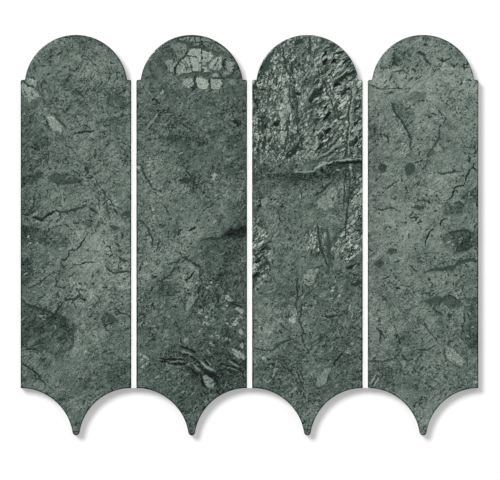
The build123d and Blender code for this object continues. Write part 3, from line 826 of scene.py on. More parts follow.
# %% Draw the third stone
STONE_3 = {
    "base": 0.402,
    "grain": 1.15,
    "shapes": [
        (PALE, [(-16.9, 91), (-14, 92.7), (-11.6, 91), (-11.4, 88.8), (-13.4, 87.6),
        (-16.4, 88.4)]),
        (BRIGHT, [(-16.6, 86.8), (-14.4, 87.2), (-13.8, 84.4), (-16, 84)]),
        (PALE, [(-13.2, 86.6), (-11.2, 86), (-11, 80.6), (-12.6, 79.6), (-13.6, 83)]),
        (PALE, [(-16.4, 82.8), (-14.4, 82.6), (-14, 80.2), (-15.8, 79.8)]),
        (BRIGHT, [(-18.8, 81.6), (-17, 81.4), (-15.6, 78.6), (-17.2, 77.6), (-18.8, 79.4)]),
        (PALE, [(-16.8, 77), (-14.6, 77.6), (-13.5, 74.6), (-13.8, 70.6), (-16.2, 70.6),
        (-16.9, 73.6)]),
        (PALE, [(-18.6, 68.2), (-14.4, 68.2), (-14.4, 64), (-15.4, 60.2), (-17, 60.6),
        (-17.4, 65)]),
        *lenses(PALE, (-22.4, 117, 1.8, 1, 70), (-20.4, 114.4, 1.6, 1, 50),
        (-18.6, 111.4, 1.5, 0.9, 40), (-21.8, 110.6, 1.2, 0.8, 0), (0.4, 116.6, 2.2, 0.9, 55),
        (-0.6, 112.2, 1.8, 0.8, 60), (4.2, 123.6, 3, 0.9, 75)),
        (0.42, [(-7.6, 122), (-5.6, 125), (-1.2, 124.4), (-0.2, 119.4), (-3, 116.4), (-6.6, 117)]),
        *lenses(PALE, (5.6, 61, 5, 1.1, 78), (14.6, 85.6, 2.6, 1, 45), (8.4, 82, 2.8, 1, 45),
        (-6.2, 91.4, 1.3, 0.8, 20), (-1.6, 60.4, 1.5, 1, 60), (21.4, 61, 3.6, 0.8, 48),
        (27.8, 99.4, 3.2, 0.8, 40), (21.6, 109, 4.2, 0.8, 32)),
        (FAIR, [(2, 110), (6, 110.5), (6, 105.5), (2.5, 105.5)]),
        (DIM, [(-31, 106), (-29, 113), (-24.5, 121), (-24.5, 113), (-27, 108)]),
        *lenses(0.16, (23.2, 103.8, 5.6, 1.7, 40)),
        *lenses(INKY, (19.4, 99, 2.8, 1.5, 25)),
        *lenses(0.19, (5.6, 92.6, 6.8, 2.5, 42)),
        *lenses(0.1, (9, 96.6, 2.2, 0.8, 45)),
        *lenses(INKY, (3.2, 88.6, 1.8, 0.9, 40), (15.3, 106.7, 2.6, 0.8, 48)),
        *lenses(BLACK, (12.6, 107.4, 2.8, 0.55, 50)),
        *lenses(INKY, (12.2, 114.6, 2.7, 1.1, 62), (17.4, 114.8, 3, 1.3, 36),
        (20.2, 113.2, 1.4, 0.5, 30), (11.8, 119.6, 2.6, 1, 50), (25.4, 114.4, 3.2, 0.9, 34),
        (5.6, 100.4, 2.2, 0.8, 42), (12.1, 84.7, 1.4, 0.7, 35)),
        *lenses(BLACK, (21.6, 120.4, 3.2, 1, 28), (28.4, 106.4, 3.6, 1, 35),
        (25, 94.6, 4.4, 1.2, 42), (20.4, 86.4, 3.2, 1.1, 48)),
        *lenses(INKY, (12.4, 78.5, 3.4, 1.5, 42), (13.8, 69, 3.2, 1.5, 44)),
        *lenses(0.15, (9.4, 64.2, 2.8, 1.3, 40)),
        *lenses(0.1, (-20, 73.4, 2.8, 1.8, 50)),
        *lenses(0.17, (-9.8, 54.8, 5.6, 2.4, 42)),
        *lenses(BLACK, (17.4, 58.4, 4.6, 1.4, 45), (8.6, 58.2, 3.4, 1.2, 45),
        (31.6, 73, 4.4, 1.2, 52), (32.4, 62, 4.6, 1.2, 52), (33, 83.4, 3.4, 1.1, 50)),
        *lenses(INKY, (-6, 93.4, 1.7, 1, 25)),
        *lenses(DARK, (9.8, 94.6, 2.6, 0.9, 10), (-24.6, 62.4, 2.2, 1.1, 60),
        (3, 83.5, 2.6, 0.9, 45), (17, 83, 2.2, 1, 60), (-6, 127, 3.6, 1.6, 35)),
        (INKY, [(8.2, 42.4), (10.6, 44.4), (11, 43), (9.4, 41.6)]),
        (INKY, [(12.2, 45.6), (16.6, 47.6), (17, 46.6), (13.6, 44.8)]),
        (INKY, [(17.2, 47.4), (22, 48.2), (28, 48.6), (36.8, 49.2), (36.8, 47.5), (30, 47.4),
        (22, 46.8)]),
        *lenses(PALE, (20.4, 43, 1.3, 0.6, 20), (28.6, 45, 0.8, 2.2, 0)),
        *lenses(FAIR, (28.8, 40, 0.7, 1.8, 0)),
        (FAIR, [(6, 21.8), (13.1, 27.7), (16.6, 32.3), (18.9, 30), (18.9, 24.8), (16.6, 18.5),
        (11.9, 15.9), (8.2, 18.5)]),
        (FAIR, [(21.4, 34), (26, 33.5), (25.5, 27.5), (22, 27)]),
        (FAIR, [(30, 25.5), (35.8, 25), (35.8, 19.2), (31, 19.5)]),
        *lenses(FAIR, (-3.3, 26.4, 3.8, 1.3, 30), (-21, 20.5, 1.8, 1.4, 0),
        (-28, 22.5, 3.2, 2.2, 80)),
        (FAIR, [(-2.3, -32.9), (-2.3, -26.3), (1.3, -22.3), (6.6, -21), (7.1, -23.4), (3.6, -28.8),
        (1.3, -32.9)]),
        *lenses(BLACK, (29.5, -20.7, 5, 1.3, 20)),
        *lenses(DARK, (31.9, -31.9, 4, 2.6, 20)),
        (FAIR, [(-12, -48.3), (-8, -48), (-7.3, -52), (-9.6, -53)]),
        (BRIGHT, [(-11.6, -53.6), (-8.4, -53), (-7.4, -56), (-9.4, -58.5), (-12, -57)]),
        *lenses(FAIR, (15.5, -42, 1.5, 0.8, 10), (19.6, -43.6, 1.4, 0.8, 10)),
        (FAIR, [(5.2, -99.2), (6.4, -93), (11.9, -87.5), (16.1, -87.5), (13.7, -93), (11.3, -97.9),
        (8.2, -99.7)]),
        *lenses(FAIR, (29.2, -71.7, 2, 0.8, 10), (26.6, -77.2, 2, 0.9, -20)),
        *lenses(0.11, (-32, -16, 4.2, 1.6, 38)),
        *lenses(BLACK, (-29.5, -9.4, 3.2, 0.9, 42), (-34, -26.4, 3.4, 1.9, 48),
        (-33.6, -4, 2.6, 0.9, 42)),
        *lenses(BRIGHT, (-34.2, -20.2, 3.6, 0.7, 42)),
        *lenses(PALE, (-28.6, -13.6, 3.2, 0.7, 45)),
        *lenses(BRIGHT, (-32, -7, 3.6, 0.6, 44)),
        *lenses(PALE, (-30.6, 1.6, 3, 0.7, 48), (-34.4, 4, 2.6, 0.9, 60),
        (-29.6, 20.4, 1.4, 0.9, 30), (-28.4, 24.6, 1.2, 0.9, 60), (-30.4, -31.6, 2.6, 1, 48),
        (-33.6, -34.6, 2.2, 0.9, 50), (15.7, -41.5, 1.3, 1, 20), (17, -34.6, 1.1, 0.7, 60),
        (19.4, -37.4, 1.2, 0.6, 40)),
        *lenses(DARK, (8.8, -66, 1.1, 0.7, 60), (10.8, -68.6, 1, 0.6, 20),
        (8.2, -69.8, 0.8, 0.6, 0)),
        *lenses(PALE, (9.8, -64.2, 0.8, 0.5, 0), (11.4, -70.6, 0.8, 0.5, 40)),
        *lenses(DARK, (-27, -30.5, 1.5, 1.2, 0), (-26, -8.9, 2.3, 1.5, 0)),
        *lenses(PALE, (-8.8, -101.4, 2.2, 1, 50), (-5.6, -104, 1.2, 0.7, 20),
        (18.8, -99.5, 1.6, 0.8, 40)),
        *lenses(BRIGHT, (18, -30.5, 1, 0.7, 50), (16.4, -36.8, 1.1, 0.7, 20),
        (20.4, -40, 1.2, 0.7, 60)),
        *lenses(PALE, (22.4, -33.6, 1.2, 0.6, 40)),
        *lenses(BRIGHT, (-0.8, -45.4, 1.5, 0.8, 70)),
        *lenses(PALE, (-2.6, -48.6, 1.1, 0.6, 60), (-28.6, -81.4, 1.6, 0.7, -30),
        (-25, -64, 1, 0.6, 0)),
        *lenses(BLACK, (3.8, -122.8, 2.2, 0.7, 70)),
    ],
    "patches": [
        (-0.02, [(-1, -60.2), (6.2, -56.6), (18.1, -58.9), (19.9, -65.8), (19.9, -76),
        (14.8, -80.9), (8.9, -81.6), (2.9, -78.3), (-2.1, -73.7), (-3.3, -66.4)]),
        (-0.07, [(-36.8, 104), (-31, 106), (-28.6, 112), (-22, 120.6), (-27, 118), (-33, 110),
        (-36.8, 110)]),
        (-0.1, [(-12.6, 118), (-10.4, 118), (-8.8, 104), (-7, 90), (-5.6, 78), (-3.4, 66),
        (-7.6, 66), (-9.8, 78), (-11.4, 90), (-12.4, 104)]),
        (-0.07, [(-35, 102), (-32.6, 102), (-31.6, 88), (-28, 80), (-27, 66), (-26, 55),
        (-29.4, 55), (-30.4, 68), (-33, 82), (-35, 90)]),
        (-0.03, [(-23.5, -30), (-14, -27), (-8, -34), (-8.6, -46), (-14, -52), (-23, -48)]),
        (-0.045, [(-19, -70), (-10, -71), (-2, -78), (-3, -88), (-12, -90), (-20, -82)]),
        (-0.03, [(22, -78), (30, -76), (36.8, -80), (36.8, -94), (26, -95), (20, -88)]),
        (-0.03, [(23.5, -26), (30, -24.6), (36.8, -26), (36.8, -41), (26, -41)]),
        (-0.08, [(-24, 41), (-8, 41), (5, 42.4), (13, 46), (36.8, 48.6), (36.8, 38.4), (20, 38.2),
        (5, 36), (-24, 36.4)]),
        (-0.05, [(-36.8, 50), (-28, 46), (-20, 41), (-24, 36), (-36.8, 37)]),
    ],
    "lines": {
        (BLACK, 0.9): [[(-10.6, 39.2), (-9.2, 40.4)], [(-26, 38.4), (-23.6, 39.4)], [(-21.6, 38.2),
        (-19, 39)], [(-21, 102), (-19.8, 100), (-20.6, 97.6)], [(5, 76.6), (8, 76)]],
        (BLACK, 1): [[(-8, 38.8), (-6.4, 40.4)], [(-2.4, 38.8), (-0.8, 40.4)]],
        (BLACK, 1.1): [[(-5.2, 38.6), (-3.6, 40.4)], [(3.8, 39.4), (5.8, 41.4)]],
        (BLACK, 1.2): [[(0.6, 38.8), (2.4, 40.6)], [(24, -76.6), (21.6, -78.9), (19.2, -81.4),
        (17.4, -84.5), (18.1, -86.8)]],
        (BLACK, 1.3): [[(8.9, -53.3), (15.4, -53.9), (19.9, -52.9)]],
        (DARK, 0.8): [[(-12.2, 104), (-11.6, 95), (-10.4, 84)], [(-8.4, 98), (-7, 88), (-6.2, 78)],
        [(-33, 82), (-32, 70), (-30.4, 58)], [(6.4, 112.3), (8, 104.4), (12.4, 97.6), (14.6, 90.9),
        (16.4, 83), (18.7, 76)], [(8.6, 111), (10.4, 104.4), (15, 97.6), (17.2, 90.9), (18.9, 83),
        (20.6, 76)], [(-13.8, 78.6), (-11.6, 75.6), (-10.8, 71)], [(-3.3, -66.4), (-2.1, -73.7),
        (2.9, -78.6), (8.9, -81.9), (14.8, -81.2)], [(6.2, -56.4), (12, -56.2), (18.1, -58.6)],
        [(-2.2, -42), (2.8, -37), (7.4, -32)], [(7.6, -65), (9.6, -68), (8.4, -71)], [(6.6, -68.6),
        (9.4, -67.8), (12, -66.4)], [(-19, -58), (-14, -62), (-8, -66)], [(-18, -84), (-13, -88),
        (-8, -94)], [(4.4, -90), (3.6, -96), (6, -101)]],
        (DARK, 0.9): [[(-35, 86), (-31.6, 83), (-29.7, 77), (-29.1, 67.2), (-27.4, 55.6)],
        [(-12, 36), (-4, 35.2), (4, 34.4)], [(25, 38), (24.6, 28), (23.4, 16)], [(-13.8, 116.6),
        (-11.6, 118.9), (-9.6, 121.8)], [(-21.4, 69.2), (-17, 69.4), (-13.5, 69.4)], [(-13.4, 70),
        (-13.8, 62), (-15.5, 53.4)], [(14.8, 63.3), (20, 69.2)], [(12.8, 60), (16.8, 64.6)],
        [(8, 49.6), (14, 52.6), (20, 56.4)], [(-36.2, -73.6), (-28, -75.6), (-22, -75)],
        [(-1.4, -36), (-4, -40), (-9.4, -41.6)], [(-13, -86), (-9, -92), (-5.6, -99)], [(18, -95),
        (22, -91), (26, -90)], [(-4.8, -89.5), (-2, -95.5)]],
        (DARK, 1): [[(30.2, 102), (28.9, 92), (27, 78), (26.4, 64), (25.9, 51)], [(28.2, 38),
        (27.6, 28), (26.4, 16), (25.4, 4), (23.4, -5)], [(20, 52), (24.6, 57)], [(-19.5, 38.9),
        (-15.5, 38.9)], [(-29.3, -12.4), (-26.4, -18.2), (-24.1, -24)], [(-3, -45), (-5.5, -56),
        (-3, -62.6), (-3.6, -70)], [(-6.3, -28), (-7.1, -36), (-6.8, -47)], [(14.1, -91.2),
        (13.1, -96.7)], [(-7, -90), (-4.5, -96), (-1, -103)]],
        (DARK, 1.1): [[(19.6, 91.9), (23, 94.6), (26.6, 98.2)], [(10, 53), (15.6, 58),
        (21.4, 64.6)], [(-23.4, -76), (-19.1, -72.4), (-14.2, -69.7), (-8.3, -68.7)]],
        (DARK, 1.2): [[(-16.6, 124.8), (-15.5, 117.9), (-14.3, 110), (-11.6, 104.4)],
        [(-12.2, 37.4), (-5, 37.2), (1, 36.3)]],
        (DARK, 1.3): [[(8.2, -24.6), (5.4, -29.9), (2.9, -34), (-2.3, -41.1)]],
        (DARK, 1.4): [[(4.9, 25.9), (8.9, 28.4), (13.1, 32.3), (15.4, 35.4)]],
        (DARK, 1.5): [[(1.2, 131), (1.8, 125), (2.4, 118.6)]],
        (DARK, 1.6): [[(6.6, 7.3), (7.1, -0.6), (8.9, -8.2), (13.1, -19.7)]],
        (DIM, 1.3): [[(-12.7, 75.8), (-13.2, 67.2), (-15.5, 55.6)]],
        (DIM, 2.2): [[(13.4, 4), (14.4, -8), (14.6, -18), (13, -26)]],
        (0.44, 0.6): [[(9.6, 103.8), (14, 97.4), (16.3, 90.6), (18, 83)]],
        (0.46, 0.6): [[(-20, -66), (-13, -64), (-7, -62)]],
        (FAIR, 0.6): [[(28.2, 76.5), (33.9, 62.6)], [(-2, -84), (2, -90), (4.6, -96)]],
        (FAIR, 0.7): [[(10.7, -51.2), (19.9, -51.6)]],
        (PALE, 0.5): [[(-28.4, 40.9), (-16.2, 41.4)]],
        (PALE, 0.55): [[(31.6, 102.8), (30.2, 92.5), (28.2, 78.4), (27.6, 64.1), (27, 50.1)]],
        (PALE, 0.6): [[(7.5, 69.9), (12.1, 65.9)], [(0.2, 89.4), (4, 95.6), (9.4, 99.6)],
        [(-3.4, -41), (1.4, -36), (6.3, -30.5)]],
        (PALE, 0.7): [[(17, 111), (24.4, 115.6)], [(15, 101.6), (20.4, 105)], [(8.6, 74.6),
        (14.6, 73.4), (18.6, 69.4)], [(30, 66), (35.6, 73.4)], [(29.6, 56), (35.6, 64)], [(14, 55),
        (19.6, 61.4)], [(16.2, 63.2), (21, 68.6)]],
        (PALE, 0.8): [[(0.4, 80.4), (7, 83.6), (12, 87.4)]],
        (PALE, 0.9): [[(-9.4, 41.8), (-0.4, 41.6), (3.6, 42.2), (8.9, 45.4), (12.4, 47.4)]],
        (PALE, 1.2): [[(6.2, 50.4), (12.1, 54), (18.1, 57.6), (21, 63)]],
        (BRIGHT, 0.5): [[(13.2, 105.2), (16.2, 109)], [(9.8, 112.2), (11, 116.6), (14, 117.8)],
        [(3.6, 98.6), (6, 102.4), (8.4, 103.4)], [(9.2, 80.2), (12.6, 81.6), (15, 83.8)],
        [(10.4, 71.6), (13, 73.2), (16.6, 72.6)]],
        (BRIGHT, 0.55): [[(17.6, 96.4), (22.6, 98.2), (27, 102.6)], [(10.2, 103.6), (12.8, 107),
        (16.4, 110.8)], [(14.4, 112.6), (17, 116.6), (20.6, 118.4)], [(14.6, 118.4), (20, 121),
        (24.6, 122.4)], [(20.6, 116.4), (26, 117.6), (29.4, 119)]],
        (BRIGHT, 0.6): [[(12.4, 47.6), (18.7, 49), (27.9, 49.9), (36.6, 50.3)], [(14.2, 98.8),
        (19.6, 103.4), (27.3, 109)]],
        (BRIGHT, 1.3): [[(4.6, 43), (8.9, 45.6), (13, 47.8)]],
    },
    "clouds": [
        (-0.06, -20, 126, 6, 4, 0), (-0.045, -31, 104, 6, 5, 0), (-0.045, -6, 105, 5, 6, 0),
        (-0.04, 24, 98, 9, 6, 0), (0.07, 14, 75, 14, 5, 0), (0.05, 30, 78, 5, 8, 0),
        (0.035, -18, 80, 6, 10, 0), (-0.07, 18, 55, 6, 4, 0), (-0.035, 0, 45, 12, 4, 0),
        (0.05, 31, 34, 5, 6, 0), (0.04, 31, 24, 5, 5, 0), (-0.055, 12, 15, 10, 5, 0),
        (-0.04, -31, 15, 5, 6, 0), (0.03, 12, -5, 8, 6, 0), (-0.035, 31, -6, 5, 5, 0),
        (-0.06, -6, -24, 6, 6, 0), (-0.05, 6, -26, 5, 6, 0), (-0.03, 12, -48, 14, 8, 0),
        (-0.035, 30, -56, 6, 6, 0), (0.08, 7, -75, 7, 5, 0), (-0.035, -18, -102, 8, 5, 0),
        (-0.035, 12, -98, 8, 6, 0), (0.06, -14, 96, 12, 26, 0), (0.06, 22, 92, 12, 24, 0),
        (-0.07, 0, 37, 34, 6, 4), (-0.08, -33, 22, 6, 14, 0), (0.06, -2, -6, 12, 14, 0),
        (0.04, 30, -4, 8, 14, 0), (0.05, -18, 68, 8, 14, 0), (0.04, 12, 114, 12, 10, 0),
        (0.04, -27, -58, 10, 22, 0), (-0.05, 18, -80, 8, 20, 0), (-0.03, 8, -32, 16, 10, 0),
        (-0.07, -22, -92, 14, 10, 0), (-0.05, -34, 108, 8, 12, 0), (-0.04, 30, 54, 10, 6, 0),
        (-0.04, 8, -104, 10, 10, 0), (-0.04, -31, -26, 6, 8, 0), (-0.05, 26, -86, 10, 16, 0),
        (0.04, -26, 0, 8, 26, 0),
    ],
    "calm": [
        (0.45, 8.4, -68.6, 11, 11, 0), (0.4, -8, 10, 10, 26, 0), (0.5, -27.5, 113, 4, 9, 60),
    ],
    "slaty": [(1.8, 26, 84, 24, 60, 0), (1.5, 34, 0, 14, 50, 0), (1.5, -33, -14, 9, 18, 0)],
    "broken": [
        (1.6, 0, 100, 90, 50, 0), (1, 5, -4, 8, 12, 0), (1, 25, -7, 11, 14, 30),
        (0.9, 33, 28, 6, 10, 0), (0.9, 33, 6, 6, 10, 0), (1.1, -32, -16, 9, 20, 0),
        (0.8, -33, 4, 6, 8, 0), (0.6, -31, 22, 5, 6, 0), (0.6, 18, -38, 5, 8, 0),
        (0.6, -10, -53, 4, 7, 0),
    ],
}
print("stone 3: shapes", len(STONE_3["shapes"]), "lines", len(STONE_3["lines"]))

# %% [markdown]
# ## The fourth stone
#
# The palest of the four, with few strong veins. Most of its figure is in the soft clouds,
# which are given by strength, place, half sizes and lean.

# %% Draw the fourth stone
STONE_4 = {
    "base": 0.451,
    "grain": 0.95,
    "shapes": [
        (FAIR, [(-26, 118), (-22.5, 120.5), (-19.8, 118), (-21, 114.5), (-25.5, 114.2)]),
        (DARK, [(-5.2, 120.6), (-2, 121.4), (1.6, 119.5), (1.9, 117.6), (-1.5, 118)]),
        *lenses(DIM, (1.9, 125.5, 1.5, 1, 0), (-12.5, 119.4, 1.8, 1.2, 20),
        (-8.6, 118, 1.6, 1.1, -30)),
        *lenses(0.25, (-26.5, 44, 3.1, 3, 0)),
        *lenses(0.26, (-8.8, 43.4, 4.4, 3.4, 70)),
        *lenses(PALE, (-13.4, 60, 1.4, 0.7, -50), (-14.8, 54.6, 1.4, 0.8, 0)),
        *lenses(DIM, (-3, 18.1, 3.8, 1.6, 0), (-20.1, -11.1, 3.8, 1.8, 10),
        (-29, -19, 3.4, 2.4, 10)),
        *lenses(DARK, (-16.7, -17, 1.1, 0.9, 0)),
        *lenses(PALE, (16.6, -4.8, 1.6, 0.6, 30), (19.4, -6.4, 1.3, 0.6, 20),
        (21.4, -8.6, 1.2, 0.6, 60)),
        *lenses(FAIR, (24.6, -4, 1.3, 0.6, 0)),
        (0.29, [(-0.7, -42.7), (5, -41), (10.5, -40.1), (13.2, -41), (13, -44), (9.6, -45),
        (8.6, -49), (6.6, -50), (5, -47.6), (2.6, -45)]),
        (0.31, [(12.2, -40.4), (17, -40.4), (22, -41.6), (26.3, -44.6), (25, -47.4), (21, -48),
        (16.6, -46.8), (13.2, -44.4)]),
        *lenses(FAIR, (11.6, -47.2, 1.5, 1.2, 60)),
        *lenses(DARK, (17.7, -52.7, 1.9, 1.3, 90)),
        (0.55, [(15.7, -74.1), (19.5, -74.8), (23.6, -78.9), (27.4, -83.3), (26.1, -86.2),
        (23, -85.1), (18.2, -81.4), (15.1, -77.6)]),
        *lenses(DARK, (-24.1, -43.1, 1.1, 0.9, 0)),
        *lenses(FAIR, (-12.8, -83.9, 1.8, 1.4, 0)),
        *lenses(PALE, (34.7, -96.7, 1.3, 0.9, 0)),
        *lenses(DARK, (5.9, -0.6, 1, 0.8, 0), (22.6, 29, 1, 0.8, 0)),
        *lenses(PALE, (30, -52, 1, 0.6, 0), (32, -61, 1, 0.6, 0), (29.4, -66, 1, 0.6, 0)),
    ],
    "patches": [
        (-0.09, [(-20.4, 119), (-17, 121.8), (-12, 119.8), (-10.2, 115.5), (-14.5, 111.6),
        (-18.7, 113.3)]),
        (-0.06, [(-11, 93), (-4, 94.4), (2.4, 93.8), (1, 89), (-5, 86), (-9, 88)]),
        (-0.07, [(-21.8, 87.4), (-14.5, 85), (-7, 84), (-4.6, 78), (-5.3, 68), (-7.4, 54),
        (-9.5, 60), (-11, 68), (-16, 77)]),
        (-0.05, [(-36.4, 78), (-30, 76), (-27, 69), (-31, 62), (-36.4, 60)]),
        (-0.1, [(23.5, 23.5), (28, 28.5), (35, 31.5), (37, 30.5), (37, 21.5), (30, 20.5)]),
        (-0.07, [(12.4, 17), (17, 21), (25.4, 20.8), (26, 15), (20, 12.2), (14, 13)]),
        (-0.09, [(11.5, -2), (17, 2.5), (26, 4), (36.8, 3), (36.8, -7), (30, -10.5), (22, -11),
        (15, -8)]),
        (-0.08, [(28, -41.8), (33, -40.6), (36.8, -41), (36.8, -47.5), (31, -47.4)]),
        (-0.08, [(27, -46), (36.8, -44), (36.8, -77), (30, -76), (26.5, -66)]),
        (-0.05, [(-33, -84), (-26, -82), (-20, -90), (-17, -99), (-22, -101), (-31, -100),
        (-36.4, -95)]),
        (-0.06, [(9.6, -57), (13, -57), (16, -62), (15.6, -68), (11.6, -66)]),
        (-0.04, [(-22, -63), (-8, -66), (2, -73), (-2, -84), (-14, -86), (-24, -78)]),
    ],
    "lines": {
        (BLACK, 0.8): [[(-33.6, -98.6), (-30.6, -93.4)]],
        (BLACK, 1): [[(34, 45), (30.2, 42.4), (29.8, 40.6), (28.2, 38.8), (27.6, 35.4)],
        [(27.6, 35.4), (27, 32.9), (22.1, 32.3), (20.3, 29.4), (19, 26.5), (17, 23.6)]],
        (BLACK, 1.1): [[(16.2, 10.6), (12.1, 9.3), (10.9, 6.4)], [(6.6, 4.7), (4, 2.3), (3.2, 0.1),
        (2.1, -2.9), (0.3, -5.9)]],
        (DARK, 0.7): [[(-25.5, 95.9), (-18, 96.6), (-10.7, 96.5)]],
        (DARK, 0.8): [[(-19.2, 65.9), (-16.5, 68.1)], [(-1.4, 42.4), (2.6, 48.3)], [(-25.1, 30),
        (-20.2, 33.2), (-16.1, 36.5)], [(0, 13.2), (2, 11.3)], [(-8, 11.3), (-2.7, 11.3)],
        [(0.8, -57.6), (4.9, -64.4), (11.2, -72)], [(-3.7, -77.6), (1.3, -80.3)], [(-11.6, -57.1),
        (-14, -59.5)], [(14.4, -73.4), (13.6, -77.6), (17.4, -82.4), (22.6, -86.4), (26.4, -87.8)],
        [(26.8, -46), (27.4, -56), (25.6, -64), (27, -72)], [(29, -50), (31, -58), (30, -66)]],
        (DARK, 0.9): [[(8, 117), (11.5, 114.6), (14.2, 114.2), (18.4, 116.3)], [(-33, 70),
        (-30.5, 66.5), (-28.5, 66)], [(-8.6, -20.3), (-4.3, -24)], [(26.3, -32.9), (26.3, -36.1)],
        [(13, -40.8), (18, -40.4), (23, -42.2), (26.6, -45)], [(-19.6, 24), (-17.2, 22.4)]],
        (DARK, 1): [[(-27.2, 67), (-23.8, 64.6), (-22.1, 60.6)], [(5, -46), (9, -50.6),
        (13.4, -53)], [(0.6, -97.4), (4.9, -100.3), (10.3, -101.6)]],
        (DARK, 1.1): [[(-33.6, 17.8), (-26.7, 16.8), (-20.8, 18.5), (-14.6, 14.8)], [(21, -9.8),
        (28, -9.6), (34.6, -6.4)], [(14, -21.6), (21.5, -20), (26.3, -17.2), (30.2, -15.8),
        (36.3, -17)], [(-5.5, -76), (2.4, -75.4), (7.8, -72.6)]],
        (DARK, 1.2): [[(-36.3, 99), (-31.7, 98.2), (-28.4, 96.2), (-25.5, 95.9)], [(-36.3, -9),
        (-33.5, -10.6), (-32.4, -14)]],
        (DARK, 1.3): [[(-19.6, 120.6), (-18.2, 117.5), (-18.9, 113.9), (-15.6, 111.8)],
        [(0.3, 117.8), (2.6, 114.4), (5.8, 112.3)], [(-21.8, 87.4), (-19.2, 83), (-15.2, 76.6),
        (-10.7, 68.5), (-8, 63), (-8, 56.2)], [(27.4, 18.4), (23.4, 21.6), (20.3, 20.4)], [(14, 0),
        (20, 2.2), (28, 2.6), (34, 0.6)], [(-31, -61.2), (-27.5, -63.8), (-29, -71)]],
        (DARK, 1.4): [[(9.2, 41.5), (12, 40), (15, 40.4), (19.7, 42.1), (25, 41.5)]],
        (0.25, 2.4): [[(0.3, -24.6), (5, -23.2), (10.3, -22.4), (16.2, -22), (21.5, -20.6),
        (26.3, -17.6), (30.2, -16.4), (36.3, -17.6)]],
        (DIM, 1): [[(-21.5, 106.7), (-17.5, 108), (-13.2, 109), (-9.6, 105.5)]],
        (DIM, 1.6): [[(11.4, 69.9), (10.8, 64.1), (7.4, 59.1), (4.5, 54.7), (1.7, 47.7)],
        [(-36.3, -83), (-26.4, -83.3), (-19.2, -80.9), (-14.6, -76)]],
        (0.33, 0.7): [[(-32, -58), (-27, -54), (-21, -53)]],
        (0.33, 0.8): [[(-19.2, -33), (-18.5, -44), (-15, -50), (-10, -54.6)], [(-12, -36),
        (-6.6, -40.4), (-4, -43)], [(5.4, -49.6), (11.8, -53.4), (13, -57)], [(-30, -36),
        (-26, -42), (-21, -46)]],
        (0.44, 0.7): [[(17, -75.6), (21, -80), (25.4, -85.4)]],
        (FAIR, 0.6): [[(0, -40.6), (7, -39.4), (13, -39.2)]],
        (FAIR, 0.7): [[(0, -58.5), (3.9, -65.1), (10.5, -73), (14, -77.6)]],
        (PALE, 0.8): [[(-12, 53.5), (-8.6, 59)], [(-32.6, -99.4), (-29.6, -94)]],
        (PALE, 0.9): [[(-18.1, 93.6), (-11.9, 95.1), (-5.1, 95.5), (0.6, 95.3), (3.4, 93.6)],
        [(-14, 54.5), (-10, 60.5)], [(-34.5, -98), (-31.4, -92.5)]],
        (BRIGHT, 0.8): [[(14.6, -77.8), (18.4, -82.6), (22, -85.4)]],
    },
    "clouds": [
        (0.04, -24, 96, 8, 5, 0), (0.05, 30, 96, 6, 6, 0), (-0.03, 6, 96, 5, 5, 0),
        (0.035, 24, 84, 9, 8, 0), (0.04, 22, 25, 8, 5, 0), (-0.045, 30, 13, 5, 5, 0),
        (-0.035, -30, 50, 6, 8, 0), (-0.045, 6, -25, 7, 5, 0), (-0.035, -6, -24, 6, 5, 0),
        (-0.045, 30, -30, 6, 10, 0), (-0.035, -31, -30, 6, 12, 0), (0.045, -5, -76, 7, 6, 0),
        (0.03, 6, -82, 6, 6, 0), (-0.035, 18, -67, 6, 5, 0), (-0.03, 31, -66, 6, 12, 0),
        (0.03, 18, -14, 6, 5, 0), (-0.03, 14, -97, 9, 6, 0), (-0.03, -28, -92, 8, 6, 0),
        (0.05, 0, 103, 40, 8, 0), (0.06, 26, 100, 14, 12, 0), (0.06, -26, 100, 14, 10, 0),
        (0.04, -30, -56, 10, 10, 0), (-0.05, 28, -84, 12, 14, 0), (-0.05, -28, -98, 12, 8, 0),
        (-0.04, 4, -100, 10, 8, 0), (0.04, 6, 118, 24, 9, 0), (0.03, 6, 26, 8, 14, 0),
        (-0.04, -33, 52, 7, 12, 0), (0.06, -17.5, 70, 7, 4, 90), (-0.08, 31, 26, 6, 4, 0),
        (-0.05, 22.3, 17.1, 7, 4, 0), (-0.09, 1.3, -10.8, 3.3, 3.6, 0), (-0.07, 29, -4, 7, 6, 0),
        (0.06, -3.7, 6.6, 16, 14, 0), (-0.05, 33, -55, 5, 18, 0), (0.05, 5, 90, 16, 22, 0),
        (-0.03, -8, -76, 22, 12, 0), (0.03, 8, -30, 14, 8, 0),
    ],
    "calm": [(0.35, 8, 101, 30, 8, 0), (0.3, 8, 8, 9, 40, 0)],
    "broken": [],
    "slaty": [],
}
print("stone 4: shapes", len(STONE_4["shapes"]), "lines", len(STONE_4["lines"]))

# %% [markdown]
# ## All four figures
#
# A stone's figure is found by the stone's name, as its CAD node is called.

# %% Figures by name
FIGURES = {"stone_1": STONE_1, "stone_2": STONE_2, "stone_3": STONE_3, "stone_4": STONE_4}
print("drawn veins", sum(len(p) for f in FIGURES.values() for p in f["lines"].values()))
print("drawn shapes", sum(len(f["shapes"]) for f in FIGURES.values()))


# %% [markdown]
# ## Small breaks
#
# Between the named veins the stone is full of short dark healed cracks and pale flecks, a few
# millimetres long. They lean mostly one way, as the rock was sheared. There are five hundred
# on each stone, too many to draw by hand, so they are scattered at random, crowded in some
# places and rare in others, and the same way on each run.


# %% Scatter short lines
SCATTER_BEYOND = 30.0  # mm past the shoulder line and the corners of the foot


